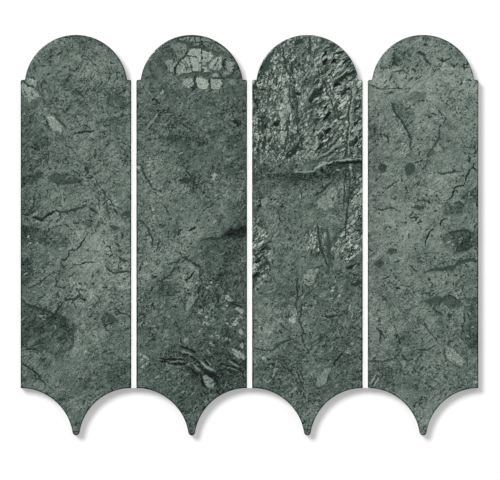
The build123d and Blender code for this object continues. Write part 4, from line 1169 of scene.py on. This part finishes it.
def scattered_lines(count, lean, spread, tones, lengths, widths, seed):
    """Short bent lines, crowded in places, leaning about lean degrees, give or take spread."""
    rng = np.random.default_rng(seed)
    tries_x = rng.uniform(-stone_half, stone_half, 3 * count)
    tries_y = rng.uniform(foot_y - SCATTER_BEYOND, shoulder_y + SCATTER_BEYOND, 3 * count)
    crowding = clouds(tries_x, tries_y, 24.0, 3, 0.6, seed) + rng.normal(0, 0.3, 3 * count)
    lines = []
    for chosen in np.argsort(-crowding)[:count]:
        x, y = tries_x[chosen], tries_y[chosen]
        turn = math.radians(rng.normal(lean, spread))
        bend = turn + rng.normal(0, 0.5)
        half = rng.uniform(*lengths) / 2
        start = (x - half * math.cos(turn), y - half * math.sin(turn))
        end = (x + half * math.cos(bend), y + half * math.sin(bend))
        lines.append((rng.uniform(*tones), rng.uniform(*widths), [start, (x, y), end]))
    return lines


print("a short line:", scattered_lines(1, 45, 50, (0.2, 0.2), (2.0, 2.0), (1.0, 1.0), 1)[0][2])


# %% [markdown]
# ## The colours of the marble
#
# Verde marble is a serpentine breccia: its colour runs from near black in the cracks through
# grey green to a warm pale grey in the clasts, always a little greener than grey. Its many
# patterns could each have a colour of their own. But one number, the tone, is enough to say
# how light the stone is at a point, and one ramp turns it into a colour.

# %% Tones and what the fine patterns add to them
TONES = {  # how light, and the stone's colour there with the polish's reflection left out
    0.10: "#000806",
    0.17: "#132420",
    0.23: "#2a3833",
    0.29: "#3b4a43",
    0.35: "#4d5a54",
    0.40: "#5b6962",
    0.46: "#6b7870",
    0.52: "#7b8880",
    0.60: "#919d94",
    0.75: "#bcc4ba",
}
STRENGTHS = {  # what each fine pattern adds to the tone
    "crumbs": 0.135,
    "threads": 0.05,
    "hairs": 0.10,
    "crystals": 0.14,
    "stripes": 0.11,
    "pits": -0.27,
    "worms": -0.15,
    "creases": -0.20,
}
EDGE_PAINTED_SHADE = -0.20  # painted shade: darkens the marble's colour along the eased edge, where the edge falls into shade
CRACK_TONE = 0.14  # between the scales of broken stone
print("the marble runs from", TONES[0.10], "to", TONES[0.75])


# %% [markdown]
# ## Coordinates in the rock
#
# A slab was part of a mountain that flowed and was sheared. So a pattern is laid on the stone
# in one of four ways: plain, drawn out along the shear, drawn out steeply, or drawn out along
# curves that a slow swirl bends. Each stone reads another part of the block.


# %% Four ways to lay a pattern
SHEARED = (38, 2.2, 0.8)  # lean in degrees, and the stretch along and across it
UPRIGHT = (58, 1.45, 0.9)
FLOWING = (36, 5.0, 0.8)
SWIRL_SIZE = 40.0  # mm
SWIRL_PUSH = (34.0, 34.0, 0.0)  # mm


def rock_spaces(add, seed):
    """The four coordinates, in mm. A texture mapping turns first and stretches after."""
    block = {"Location": (17.0 * seed, 31.0 * seed, 0.0), "Scale": (1000, 1000, 1000)}
    plain = add("Mapping", {"Vector": add("TexCoord").outputs["Object"], **block})
    swirl = add("TexNoise", {"Vector": plain, "Scale": 1 / SWIRL_SIZE, "Detail": 1.0})
    bent = [swirl.outputs["Color"], SWIRL_PUSH, plain]
    bent = add("VectorMath", bent, operation="MULTIPLY_ADD")
    spaces = {"plain": plain}
    drawn_out = {"sheared": (plain, SHEARED), "upright": (plain, UPRIGHT), "flowing": (bent, FLOWING)}
    for name, (start, (lean, along, across)) in drawn_out.items():
        stretch = {"Rotation": (0, 0, math.radians(lean)), "Scale": (along, across, 1.0)}
        spaces[name] = add("Mapping", {"Vector": start, **stretch}, vector_type="TEXTURE")
    return spaces


# %% [markdown]
# ## The finest grain
#
# Under about two millimetres the stone is crumbs, threads, crystals, pits and hairlines. No
# grid of vertices is fine enough for them, so they come from noise on the stone's own
# coordinates. One table holds them all, because they differ only in size and strength. The
# sizes in the table are real ones, and those under a millimetre are already as coarse as a
# pixel of the photo, 0.66 mm, asks for. A hairline runs where a noise crosses its middle.


# %% Grain, pits and hairlines
PATTERNS = {  # coordinates, size in mm, detail, roughness, bend, and from and to which values
    "crumbs": ("plain", 0.87, 2.0, 0.8, 0.3, -0.15, 0.15, -0.5, 0.5),
    "threads": ("sheared", 1.33, 1.5, 0.7, 0.8, -0.18, 0.18, -0.5, 0.5),
    "stripes": ("flowing", 1.1, 2.0, 0.65, 0.0, -0.16, 0.16, -0.5, 0.5),
    "has_stripes": ("plain", 33.0, 1.0, 0.5, 0.0, -0.08, 0.08, 0.25, 1.0),
    "clumps": ("upright", 6.2, 2.0, 0.6, 0.0, -0.14, 0.14, -0.5, 0.5),
    "crowded": ("plain", 14.0, 2.0, 0.6, 0.0, -0.10, 0.10, 0.12, 0.52),
    "hairs": ("sheared", 2.5, 2.0, 0.6, 1.5, 0.035, 0.005, 0.0, 1.0),
    "has_hairs": ("plain", 5.0, 1.0, 0.5, 0.0, -0.05, 0.12, 0.0, 1.0),
    "worms": ("plain", 2.6, 2.0, 0.5, 1.0, 0.04, 0.012, 0.0, 1.0),
    "has_worms": ("plain", 3.7, 1.0, 0.5, 0.0, -0.01, 0.10, 0.0, 1.0),
    "creases": ("plain", 9.0, 4.0, 0.62, 1.2, 0.022, 0.004, 0.0, 1.0),
    "has_creases": ("plain", 20.0, 1.0, 0.5, 0.0, -0.03, 0.08, 0.0, 1.0),
}
CROSSINGS = ("hairs", "worms", "creases")
PIT_SIZE = 1.6  # mm from one pit to the next
CRYSTAL_SIZE = 0.63  # mm


def rock_grain(add, spaces, coarseness):
    """Every fine pattern of the rock, as a number about 0 or from 0 to 1."""
    rock = {}
    for part, row in PATTERNS.items():
        space, size, detail, roughness, bend, start, stop, low, high = row
        sizes = {"Vector": spaces[space], "Scale": 1 / size, "Detail": detail}
        noisy = add("TexNoise", {**sizes, "Roughness": roughness, "Distortion": bend})
        level = add("Math", [noisy, 0.5], operation="SUBTRACT")
        if part in CROSSINGS:
            level = add("Math", [level], operation="ABSOLUTE")
        rock[part] = add("MapRange", [level, start, stop, low, high], **SMOOTH)
    for part in ("crumbs", "threads"):
        rock[part] = add("Math", [rock[part], coarseness], operation="MULTIPLY")
    for part in ("stripes", *CROSSINGS):
        rock[part] = add("Math", [rock[part], rock["has_" + part]], operation="MULTIPLY")
    # Pits are round spots of many sizes at the middles of cells
    cells = add("TexVoronoi", {"Vector": spaces["plain"], "Scale": 1 / PIT_SIZE, "Randomness": 1.0})
    luck = add("SeparateColor", [cells.outputs["Color"]]).outputs[1]
    luck = add("MapRange", [luck, 0.28, 1.0, 0.0, 1.0], **SMOOTH)
    radius = add("Math", [luck, rock["crowded"]], operation="MULTIPLY")
    uneven = add("Math", [rock["crumbs"], 0.25, cells.outputs["Distance"]], operation="MULTIPLY_ADD")
    floor_of_pit = add("Math", [radius, 0.6], operation="MULTIPLY")
    pits = add("MapRange", [uneven, radius, floor_of_pit, 0.0, 1.0], **SMOOTH)
    calm_down = add("Math", [coarseness, 1.0], operation="MINIMUM")
    rock["pits"] = add("Math", [pits, calm_down], operation="MULTIPLY")
    # Crystals are each a little darker or lighter than their neighbours
    cells = add("TexVoronoi", {"Vector": spaces["plain"], "Scale": 1 / CRYSTAL_SIZE, "Randomness": 1.0})
    crystal = add("SeparateColor", [cells.outputs["Color"]])
    crystal = add("Math", [crystal, 0.5], operation="SUBTRACT")
    rock["crystals"] = add("Math", [crystal, coarseness], operation="MULTIPLY")
    return rock


# %% [markdown]
# ## Broken stone
#
# Where the stone is broken small, scales lie like shingles with dark between them. They are
# long where the slab is slaty and short elsewhere. Voronoi cells make them: the distance to a
# cell's edge gives the cracks, and a cell's random colour says how light its scale is.


# %% Shingles
SHORT_SCALES, LONG_SCALES = 1.8, 2.4  # mm


def shingles(add, stretched, size, rock):
    """The tone of stone that is broken into scales of one size."""
    shaken = add("Math", [rock["threads"], 0.9], operation="MULTIPLY")
    shaken = add("VectorMath", [stretched, shaken], operation="ADD")
    cells = {"Vector": shaken, "Scale": 1 / size, "Randomness": 1.0}
    gaps = add("TexVoronoi", cells, feature="DISTANCE_TO_EDGE")
    each = add("SeparateColor", [add("TexVoronoi", cells).outputs["Color"]])
    bare = add("Math", [each, 0.44, 0.27], operation="MULTIPLY_ADD")
    for part, strength in {"clumps": 0.20, "crumbs": 0.20, "pits": -0.16}.items():
        bare = add("Math", [rock[part], strength, bare], operation="MULTIPLY_ADD")
    whole = add("MapRange", [gaps, 0.03, 0.14, 0.0, 1.0], **SMOOTH)
    return add("Mix", {"Factor": whole, "A": CRACK_TONE, "B": bare}, data_type="FLOAT")


# %% [markdown]
# ## From patterns to one tone
#
# The layers lie in the order in which the rock took them on: the clouded ground with its
# grain, then ground that was broken small, then clasts, then the veins that healed it all.
# Each layer covers the last by a share, and the grain eats into the edge of that share, so
# that no edge is as clean as a drawn one.


# %% Ground, clasts and veins
CLOUD_MIDDLE = 0.38  # the cloud's value that leaves broken stone as it is
CLAST_COVER, VEIN_COVER = 0.94, 0.95


def marble_tone(add, spaces, rock, kept):
    """How light the marble is, and how much of a vein is there."""
    tone = kept["cloud"]
    for part, strength in STRENGTHS.items():
        tone = add("Math", [rock[part], strength, tone], operation="MULTIPLY_ADD")
    # Painted shade: the colour is darkened along the eased edge
    tone = add("Math", [kept["eased"], EDGE_PAINTED_SHADE, tone], operation="MULTIPLY_ADD")

    short = shingles(add, spaces["upright"], SHORT_SCALES, rock)
    long = shingles(add, spaces["sheared"], LONG_SCALES, rock)
    scaly = add("Mix", {"Factor": kept["slaty"], "A": short, "B": long}, data_type="FLOAT")
    cloudy = add("Math", [kept["cloud"], CLOUD_MIDDLE], operation="SUBTRACT")
    scaly = add("Math", [scaly, cloudy], operation="ADD")
    tone = add("Mix", {"Factor": kept["broken"], "A": tone, "B": scaly}, data_type="FLOAT")

    edge = add("Math", [rock["crumbs"], 0.6, kept["shape_depth"]], operation="MULTIPLY_ADD")
    cover = add("MapRange", [edge, -0.3, 0.3, 0.0, CLAST_COVER], **SMOOTH)
    speckle = add("Math", [rock["crumbs"], rock["crystals"]], operation="ADD")
    speckle = add("Math", [speckle, 0.32], operation="MULTIPLY")
    clast = [speckle, kept["shape_tone"], kept["shape_tone"]]
    clast = add("Math", clast, operation="MULTIPLY_ADD")
    clast = add("Math", [rock["pits"], -0.12, clast], operation="MULTIPLY_ADD")
    tone = add("Mix", {"Factor": cover, "A": tone, "B": clast}, data_type="FLOAT")

    edge = add("Math", [rock["crumbs"], 0.6, kept["line_gap"]], operation="MULTIPLY_ADD")
    vein_there = add("MapRange", [edge, 1.5, 0.7, 0.0, VEIN_COVER], **SMOOTH)
    vein = add("Math", [rock["crumbs"], 0.09, kept["line_tone"]], operation="MULTIPLY_ADD")
    tone = add("Mix", {"Factor": vein_there, "A": tone, "B": vein}, data_type="FLOAT")
    return tone, vein_there


# %% [markdown]
# ## Polish and jet grooves
#
# The face is polished to a mirror and then handled, so it is smooth but not perfect. Cracks
# and pinholes take no polish. The sides keep the fine upright grooves of the jet, which lags
# behind as it goes deeper, and the back is sawn. So one attribute, the polish, blends a smooth
# roughness with a matt one, and the grooves are noise along the rim, drawn out upright and
# swept back with the square of the depth.


# %% Roughness and relief
POLISHED_ROUGH, OPEN_ROUGH, SAWN_ROUGH = 0.13, 0.20, 0.72
GROOVE_SIZE = 0.63  # mm; real ones are finer, and this is as fine as shows from the side
JET_LAG = 0.02  # mm along the rim, for a depth of 1 mm
GROOVE_RELIEF, PIT_RELIEF = 0.12, 0.03


def marble_relief(add, spaces, rock, kept, vein_there):
    """The roughness of the stone and the bump of its pits and grooves."""
    dark_vein = add("MapRange", [kept["line_tone"], 0.35, 0.2, 0.0, 1.0], **SMOOTH)
    cracks = add("Math", [vein_there, dark_vein], operation="MULTIPLY")
    unpolished = add("Math", [cracks, rock["pits"]], operation="MAXIMUM", use_clamp=True)
    smooth = add("MapRange", [unpolished, 0.0, 1.0, POLISHED_ROUGH, OPEN_ROUGH], **SMOOTH)
    rough = {"Factor": kept["polish"], "A": SAWN_ROUGH, "B": smooth}
    rough = add("Mix", rough, data_type="FLOAT")

    height = add("SeparateXYZ", [spaces["plain"]]).outputs["Z"]
    depth = add("Math", [float(face_z), height], operation="SUBTRACT")
    lag = add("Math", [add("Math", [depth, 2.0], operation="POWER"), JET_LAG], operation="MULTIPLY")
    swept = add("Math", [kept["along"], lag], operation="ADD")
    drawn_up = add("Math", [height, 0.05], operation="MULTIPLY")
    groove_at = add("CombineXYZ", [swept, drawn_up])
    sizes = {"Vector": groove_at, "Scale": 1 / GROOVE_SIZE, "Detail": 2.0, "Roughness": 0.6}
    grooves = add("Math", [add("TexNoise", sizes), 0.5], operation="SUBTRACT")
    strength = [kept["polish"], -GROOVE_RELIEF, GROOVE_RELIEF]
    strength = add("Math", strength, operation="MULTIPLY_ADD")
    relief = add("Math", [grooves, strength], operation="MULTIPLY")
    relief = add("Math", [unpolished, -PIT_RELIEF, relief], operation="MULTIPLY_ADD")
    return rough, add("Bump", {"Height": relief, "Distance": 0.001, "Strength": 0.6})


# %% [markdown]
# ## The marble as one material
#
# Each vertex keeps what was drawn for its stone, and the material reads it and adds the rest. The
# clear polish reflects about a twenty-fifth of the light, as marble does.


# %% Put the marble together
KEPT = ("cloud", "grain", "broken", "slaty", "line_gap", "line_tone", "shape_depth", "shape_tone")


def marble(name, seed):
    """The marble of one stone. seed says which part of the block it was cut from."""
    material, add = new_finish(name)
    kept = {}
    for key in (*KEPT, "polish", "eased", "along"):
        kept[key] = add("Attribute", attribute_name=key).outputs["Fac"]
    spaces = rock_spaces(add, seed)
    rock = rock_grain(add, spaces, kept["grain"])
    tone, vein_there = marble_tone(add, spaces, rock, kept)
    rough, bump = marble_relief(add, spaces, rock, kept, vein_there)
    ramp = add("ValToRGB", [tone])
    stops = ramp.color_ramp.elements
    while len(stops) < len(TONES):
        stops.new(0.5)
    for stop, (level, colour) in zip(stops, TONES.items()):
        stop.position = level
        stop.color = linear(colour)
    shader = {"Base Color": ramp, "Roughness": rough, "IOR": 1.5, "Normal": bump}
    add("OutputMaterial", [add("BsdfPrincipled", shader)])
    print(name, "has", len(material.node_tree.nodes), "nodes")
    return material


# %% [markdown]
# ## The four stones
#
# They were cut from different slabs, so each has its own veins. The ground of a stone is its
# base tone with clouds, streaks and drawn patches. Calm places have weaker grain, and broken
# and slaty ones show shingles. Everything is worked out once per vertex and kept with the
# mesh, because a drawn vein has more corners than a material could follow.

# %% Cut and dress the stones
SLOTS = {
    "stone_1": "marble_mid_green",
    "stone_2": "marble_deep_green",
    "stone_3": "marble_brecciated_green",
    "stone_4": "marble_pale_green",
}
PATCH_EDGE = 1.2  # mm over which a drawn patch fades


def ground(figure, x, y, number):
    """The clouded ground of one stone, before any clast or vein."""
    cloud = figure["base"] + draw_clouds(x, y, figure["clouds"])
    cloud += 0.03 * clouds(x, y, 32.0, 5, 0.9, 200 * number)
    cloud += 0.035 * streaks(x, y, 6.0, 2.5, 38, 300 * number)
    patch_depth, patch_shift = draw_shapes(x, y, figure["patches"])
    return cloud + patch_shift * np.clip(0.5 + patch_depth / PATCH_EDGE, 0, 1)


def veins(figure, number):
    """Scattered dark cracks, scattered pale flecks, and over them the veins listed for the stone."""
    lines = scattered_lines(330, 45, 50, (0.16, 0.26), (1.2, 4.0), (0.7, 1.1), 400 * number)
    lines += scattered_lines(170, 40, 30, (0.48, 0.58), (1.5, 4.5), (0.5, 0.8), 500 * number)
    for (tone, width), paths in figure["lines"].items():
        lines += [(tone, width, path) for path in paths]
    return lines


for number, (name, middle) in enumerate(zip(STONES, middles), start=1):
    figure = FIGURES[name]
    points, quads, back, flat, local, along, polish, eased = stone_arrays(middle)
    finish = marble(SLOTS[name], number)
    piece = add_piece(name + "_polished", points, quads, [back], finish, flat)
    x, y = wander(local[:, 0], local[:, 1], 100 * number)
    calm = 1 - np.clip(draw_clouds(x, y, figure["calm"]), 0, 0.85)
    calm *= np.clip(1 + 0.4 * clouds(x, y, 22.0, 3, 0.6, 600 * number), 0.6, 1.4)
    line_gap, line_tone = draw_lines(x, y, veins(figure, number))
    shape_depth, shape_tone = draw_shapes(x, y, figure["shapes"])
    broken = np.clip(3 * draw_clouds(x, y, figure["broken"]) - 1, 0, 1)
    slaty = np.clip(draw_clouds(x, y, figure["slaty"]), 0, 1)
    drawn = (ground(figure, x, y, number), figure["grain"] * calm, broken, slaty)
    drawn += (line_gap, line_tone, shape_depth, shape_tone)
    store(piece, **dict(zip(KEPT, drawn)), polish=polish, eased=eased, along=along)
    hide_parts(name)
    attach(piece, "root")

# %% [markdown]
# ## Pointing
#
# The joints are filled with fine white cement and tooled with a rounded strip of wood, which
# leaves a shallow hollow. Its finish is white with a little sand in it, and reflects about
# nine tenths of the light. The sand gives a slight roughness and the damp a slight stain.


# %% White cement
SAND_SIZE, STAIN_SIZE = 0.42, 11.0  # mm


def pointing_cement():
    """Fine white cement with a little sand in it."""
    material, add = new_finish("white_cement_pointing")
    place = add("TexCoord").outputs["Object"]
    sizes = {"Vector": place, "Scale": 1000 / SAND_SIZE, "Detail": 3.0, "Roughness": 0.7}
    sand = add("TexNoise", sizes)
    sizes = {"Vector": place, "Scale": 1000 / STAIN_SIZE, "Detail": 4.0, "Roughness": 0.6}
    stain = add("Math", [add("TexNoise", sizes), 0.4], operation="MULTIPLY")
    shade = add("ValToRGB", [add("Math", [sand, 0.6, stain], operation="MULTIPLY_ADD")])
    for stop, level, colour in zip(shade.color_ramp.elements, (0.3, 0.6), ("#f3f3f0", "#fbfbfa")):
        stop.position = level
        stop.color = linear(colour)
    bump = add("Bump", {"Height": sand, "Distance": 0.0001, "Strength": 0.5})
    shader = {"Base Color": shade, "Roughness": 0.9, "Normal": bump}
    add("OutputMaterial", [add("BsdfPrincipled", shader)])
    return material


cement = pointing_cement()
print("cement:", cement.name)


# %% [markdown]
# ## The tooled joint
#
# Near the shoulder line the pointing spreads round the stones' rounded corners. A section is
# carried along the joint, as the tool was, and its width follows the corners. The hand that
# drew the tool shows as a slight unevenness of the hollow's floor.


# %% Draw the section along each joint
POINTING_STATIONS = 560
HOLLOW_POINTS = 13
SIDE_POINTS = 3
HOLLOW_DEPTH = 0.3  # mm at the middle of the joint
HAND_UNEVENNESS = 0.04  # mm, up and down along the joint
HAND_SIZE = 5.0  # mm from one rise to the next


def tooled_joint(low, high, number):
    """Points and quads of one joint, and its two ends.

    The hollow's height is edge - depth (1 - (across / half joint)^2), plus the hand's noise.
    """
    middle = (low[0] + high[0]) / 2
    edge_z = high[2]
    y = foot_y + (shoulder_y - foot_y) * np.linspace(0, 1, POINTING_STATIONS)
    climb = np.clip(y - (shoulder_y - SHOULDER_ROUND), 0, SHOULDER_ROUND)
    half = joint_half + SHOULDER_ROUND - np.sqrt(SHOULDER_ROUND**2 - climb**2)
    s = np.linspace(1, -1, HOLLOW_POINTS)
    across = np.outer(half, s)
    y_grid = np.repeat(y[:, None], len(s), 1)
    uneven = noise(across * 0.6 + 50 * number, y_grid, HAND_SIZE, 70 + number)
    level = edge_z - HOLLOW_DEPTH * (1 - np.clip(across / joint_half, -1, 1) ** 2)
    level = np.minimum(level + HAND_UNEVENNESS * uneven * (1 - s**2), edge_z)
    side_x = np.repeat(half[:, None], SIDE_POINTS, 1)
    side_z = np.tile(np.linspace(edge_z, low[2], SIDE_POINTS + 1)[1:], (len(y), 1))
    ring_x = np.concatenate([across, -side_x, side_x], axis=1)
    ring_z = np.concatenate([level, side_z, side_z[:, ::-1]], axis=1)
    ring = ring_x.shape[1]
    points = np.column_stack([middle + ring_x.ravel(), np.repeat(y, ring), ring_z.ravel()])
    rows = np.arange(len(points)).reshape(len(y), ring)
    quads = np.concatenate([loop_quads(a, b) for a, b in zip(rows[:-1], rows[1:])])
    return points, quads, [rows[0][::-1], rows[-1]]


for number in (1, 2, 3):
    node = f"joint_pointing_{number}"
    piece = add_piece(node + "_tooled", *tooled_joint(*box_mm(node), number), cement)
    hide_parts(node)
    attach(piece, "root")

# %% [markdown]
# ## The net on the back
#
# The stones are glued to an alkali-resistant glass-fibre net so that the sheet can be laid in
# one go. Its flat coated strands cross over and under each other, so each one runs as a sine
# wave in height, with the two directions in opposite phase at every crossing. A flat sheet
# with holes would be quicker, but from behind it would look stamped.


# %% The net's finish and strands
STRAND_PITCH = 6.0
STRAND_WIDTH = 1.0
STRAND_THICKNESS = 0.24
STATIONS_PER_OPENING = 4
STRAND_SIDES = 6
FIBRE_SIZE = 0.29  # mm; a real fibre is far finer, and this is as fine as shows


def net_finish():
    """White polymer-coated glass fibre, slightly satin."""
    material, add = new_finish("coated_glass_fibre")
    place = add("TexCoord").outputs["Object"]
    fibres = add("TexNoise", {"Vector": place, "Scale": 1000 / FIBRE_SIZE, "Detail": 2.0})
    bump = add("Bump", {"Height": fibres, "Distance": 0.00005, "Strength": 0.6})
    shader = {"Base Color": linear("#e8e8e3"), "Roughness": 0.5, "Normal": bump}
    add("OutputMaterial", [add("BsdfPrincipled", shader)])
    return material


def strands(places, low, high, phase):
    """Strands along one direction: their points along, across and up, and their faces.

    Height is middle + swing sin(pi along / pitch + pi number + phase).
    """
    spans = round((high - low) / STRAND_PITCH)
    stations = np.linspace(low, high, spans * STATIONS_PER_OPENING + 1)
    turn = 2 * np.pi * (np.arange(STRAND_SIDES) + 0.5) / STRAND_SIDES
    side = STRAND_WIDTH / 2 * np.cos(turn)
    up = STRAND_THICKNESS / 2 * np.sin(turn)
    middle_z = (net_low[2] + net_high[2]) / 2
    swing = (net_high[2] - net_low[2]) / 2 - STRAND_THICKNESS / 2
    points, quads, ends = [], [], []
    count = len(stations) * STRAND_SIDES
    for number, place in enumerate(places):
        turned = np.pi * (stations - low) / STRAND_PITCH + np.pi * number + phase
        grid = np.empty((len(stations), STRAND_SIDES, 3))
        grid[:, :, 0] = stations[:, None]
        grid[:, :, 1] = place + side
        grid[:, :, 2] = (middle_z + swing * np.sin(turned))[:, None] + up
        points.append(grid.reshape(-1, 3))
        rows = number * count + np.arange(count).reshape(len(stations), STRAND_SIDES)
        quads += [loop_quads(a, b) for a, b in zip(rows[:-1], rows[1:])]
        ends += [rows[0][::-1], rows[-1]]
    return np.concatenate(points), np.concatenate(quads), ends


net_low, net_high = box_mm("backing_mesh")
print("the net measures", (net_high - net_low).round(2))

# %% [markdown]
# ## Weaving the net
#
# One direction is made like the other with its two coordinates exchanged. That turns its faces
# inside out, so their order is reversed as well.


# %% Warp and weft
def strand_places(axis):
    """Where the strands lie across one axis, a strand along each edge of the net."""
    margin = STRAND_WIDTH / 2
    low, high = net_low[axis], net_high[axis]
    return np.linspace(low + margin, high - margin, round((high - low) / STRAND_PITCH) + 1)


warp, warp_quads, warp_ends = strands(strand_places(0), net_low[1], net_high[1], 0.0)
weft, weft_quads, weft_ends = strands(strand_places(1), net_low[0], net_high[0], np.pi)
warp = warp[:, [1, 0, 2]]
quads = np.concatenate([warp_quads[:, ::-1], weft_quads + len(warp)])
ends = [end[::-1] for end in warp_ends] + [end + len(warp) for end in weft_ends]
net = add_piece("backing_net", np.concatenate([warp, weft]), quads, ends, net_finish())
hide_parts("backing_mesh")
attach(net, "root")

# %% [markdown]
# ## The white surround
#
# The photo is taken on a white ground. The surround could light the scene as brightly as it
# looks, but then no shadow would be left. So what the camera sees is plain white, and what
# falls on the object is a small share of it.

# %% The world
FILL = 0.22  # the surround's share of the light
world = bpy.data.worlds.new("white_surround")
world.use_nodes = True
world.node_tree.nodes.clear()
add = functools.partial(add_node, world.node_tree)
camera_ray = add("LightPath").outputs["Is Camera Ray"]
strength = add("Mix", {"Factor": camera_ray, "A": FILL, "B": 1.0}, data_type="FLOAT")
add("OutputWorld", [add("Background", [(1, 1, 1, 1), strength])])
bpy.context.scene.world = world
print("the surround gives", FILL)

# %% [markdown]
# ## The floor
#
# The floor is a matt white sheet that keeps the object's shadow. It glows a little to the
# camera, directly, in a reflection or through something, so that it reads white while the
# shadow on it stays. No light comes from that glow.

# %% A floor that glows to the camera
FLOOR_GLOW = 0.32
FLOOR_WHITE = 0.70
FLOOR_REACH = 8000.0  # mm
FLOOR_Z = -0.02  # mm, just under the net

floor_material, add = new_finish("white_floor")
path = add("LightPath").outputs
seen = add("Math", [path["Is Camera Ray"], path["Is Glossy Ray"]], operation="ADD")
seen = add("Math", [seen, path["Is Transmission Ray"]], operation="ADD", use_clamp=True)
glow = add("Math", [seen, FLOOR_GLOW], operation="MULTIPLY")
matt = add("BsdfDiffuse", [(FLOOR_WHITE, FLOOR_WHITE, FLOOR_WHITE, 1)])
both = add("AddShader", [matt, add("Emission", [(1, 1, 1, 1), glow])])
add("OutputMaterial", [both])
ends_of_floor = [(-1, -1), (1, -1), (1, 1), (-1, 1)]
corners = [(x * FLOOR_REACH, y * FLOOR_REACH, FLOOR_Z) for x, y in ends_of_floor]
floor = add_piece("floor", corners, np.array([[0, 1, 2, 3]]), [], floor_material)

# %% [markdown]
# ## The lights
#
# A soft light stands to the upper left and a weak one to the upper right. A light is easiest to
# place by its shadow, so each is given by how far the shadow of the face, 10 mm up, falls
# beside it. The wider the light spreads, the softer the shadow's edge.


# %% Two soft lights
def soft_light(name, share, right, down, spread):
    """A light that gives its share of the whole and throws a shadow so many mm right and down.

    The leans are the arctangents of the shadow's length over the height of the face.
    """
    lean_right = math.atan2(right, face_z)
    lean_down = math.atan2(down * math.cos(lean_right), face_z)
    data = bpy.data.lights.new(name, "SUN")
    data.angle = math.radians(spread)
    data.energy = share * math.pi / (math.cos(lean_right) * math.cos(lean_down))
    light = bpy.data.objects.new(name, data)
    light.rotation_euler = (-lean_down, -lean_right, 0)
    bpy.context.scene.collection.objects.link(light)
    print(name, "has energy", round(data.energy, 3))


soft_light("soft_key", 0.72, 3.9, 4.1, 20)
soft_light("weak_side", 0.10, -2.2, 3.6, 24)

# %% [markdown]
# ## The camera
#
# The photo looks straight down and shows no perspective, so a long lens stands far away. The
# width of the picture, in metres on the face, gives the distance.

# %% A camera straight above
PHOTO_WIDTH = 0.3292  # metres across the picture
PHOTO_MIDDLE = (0.0003, -0.0032)  # metres from the sheet's middle
LENS = 500.0
SENSOR = 36.0
camera_data = bpy.data.cameras.new("camera")
camera_data.lens = LENS
camera_data.sensor_width = SENSOR
distance = PHOTO_WIDTH * LENS / SENSOR
camera_data.clip_start, camera_data.clip_end = distance * 0.1, distance * 4
camera = bpy.data.objects.new("camera", camera_data)
camera.location = (*PHOTO_MIDDLE, face_z / 1000 + distance)
bpy.context.scene.collection.objects.link(camera)
bpy.context.scene.camera = camera
bpy.context.scene.view_settings.view_transform = "Standard"
print("the camera stands", round(distance, 2), "m above the face")
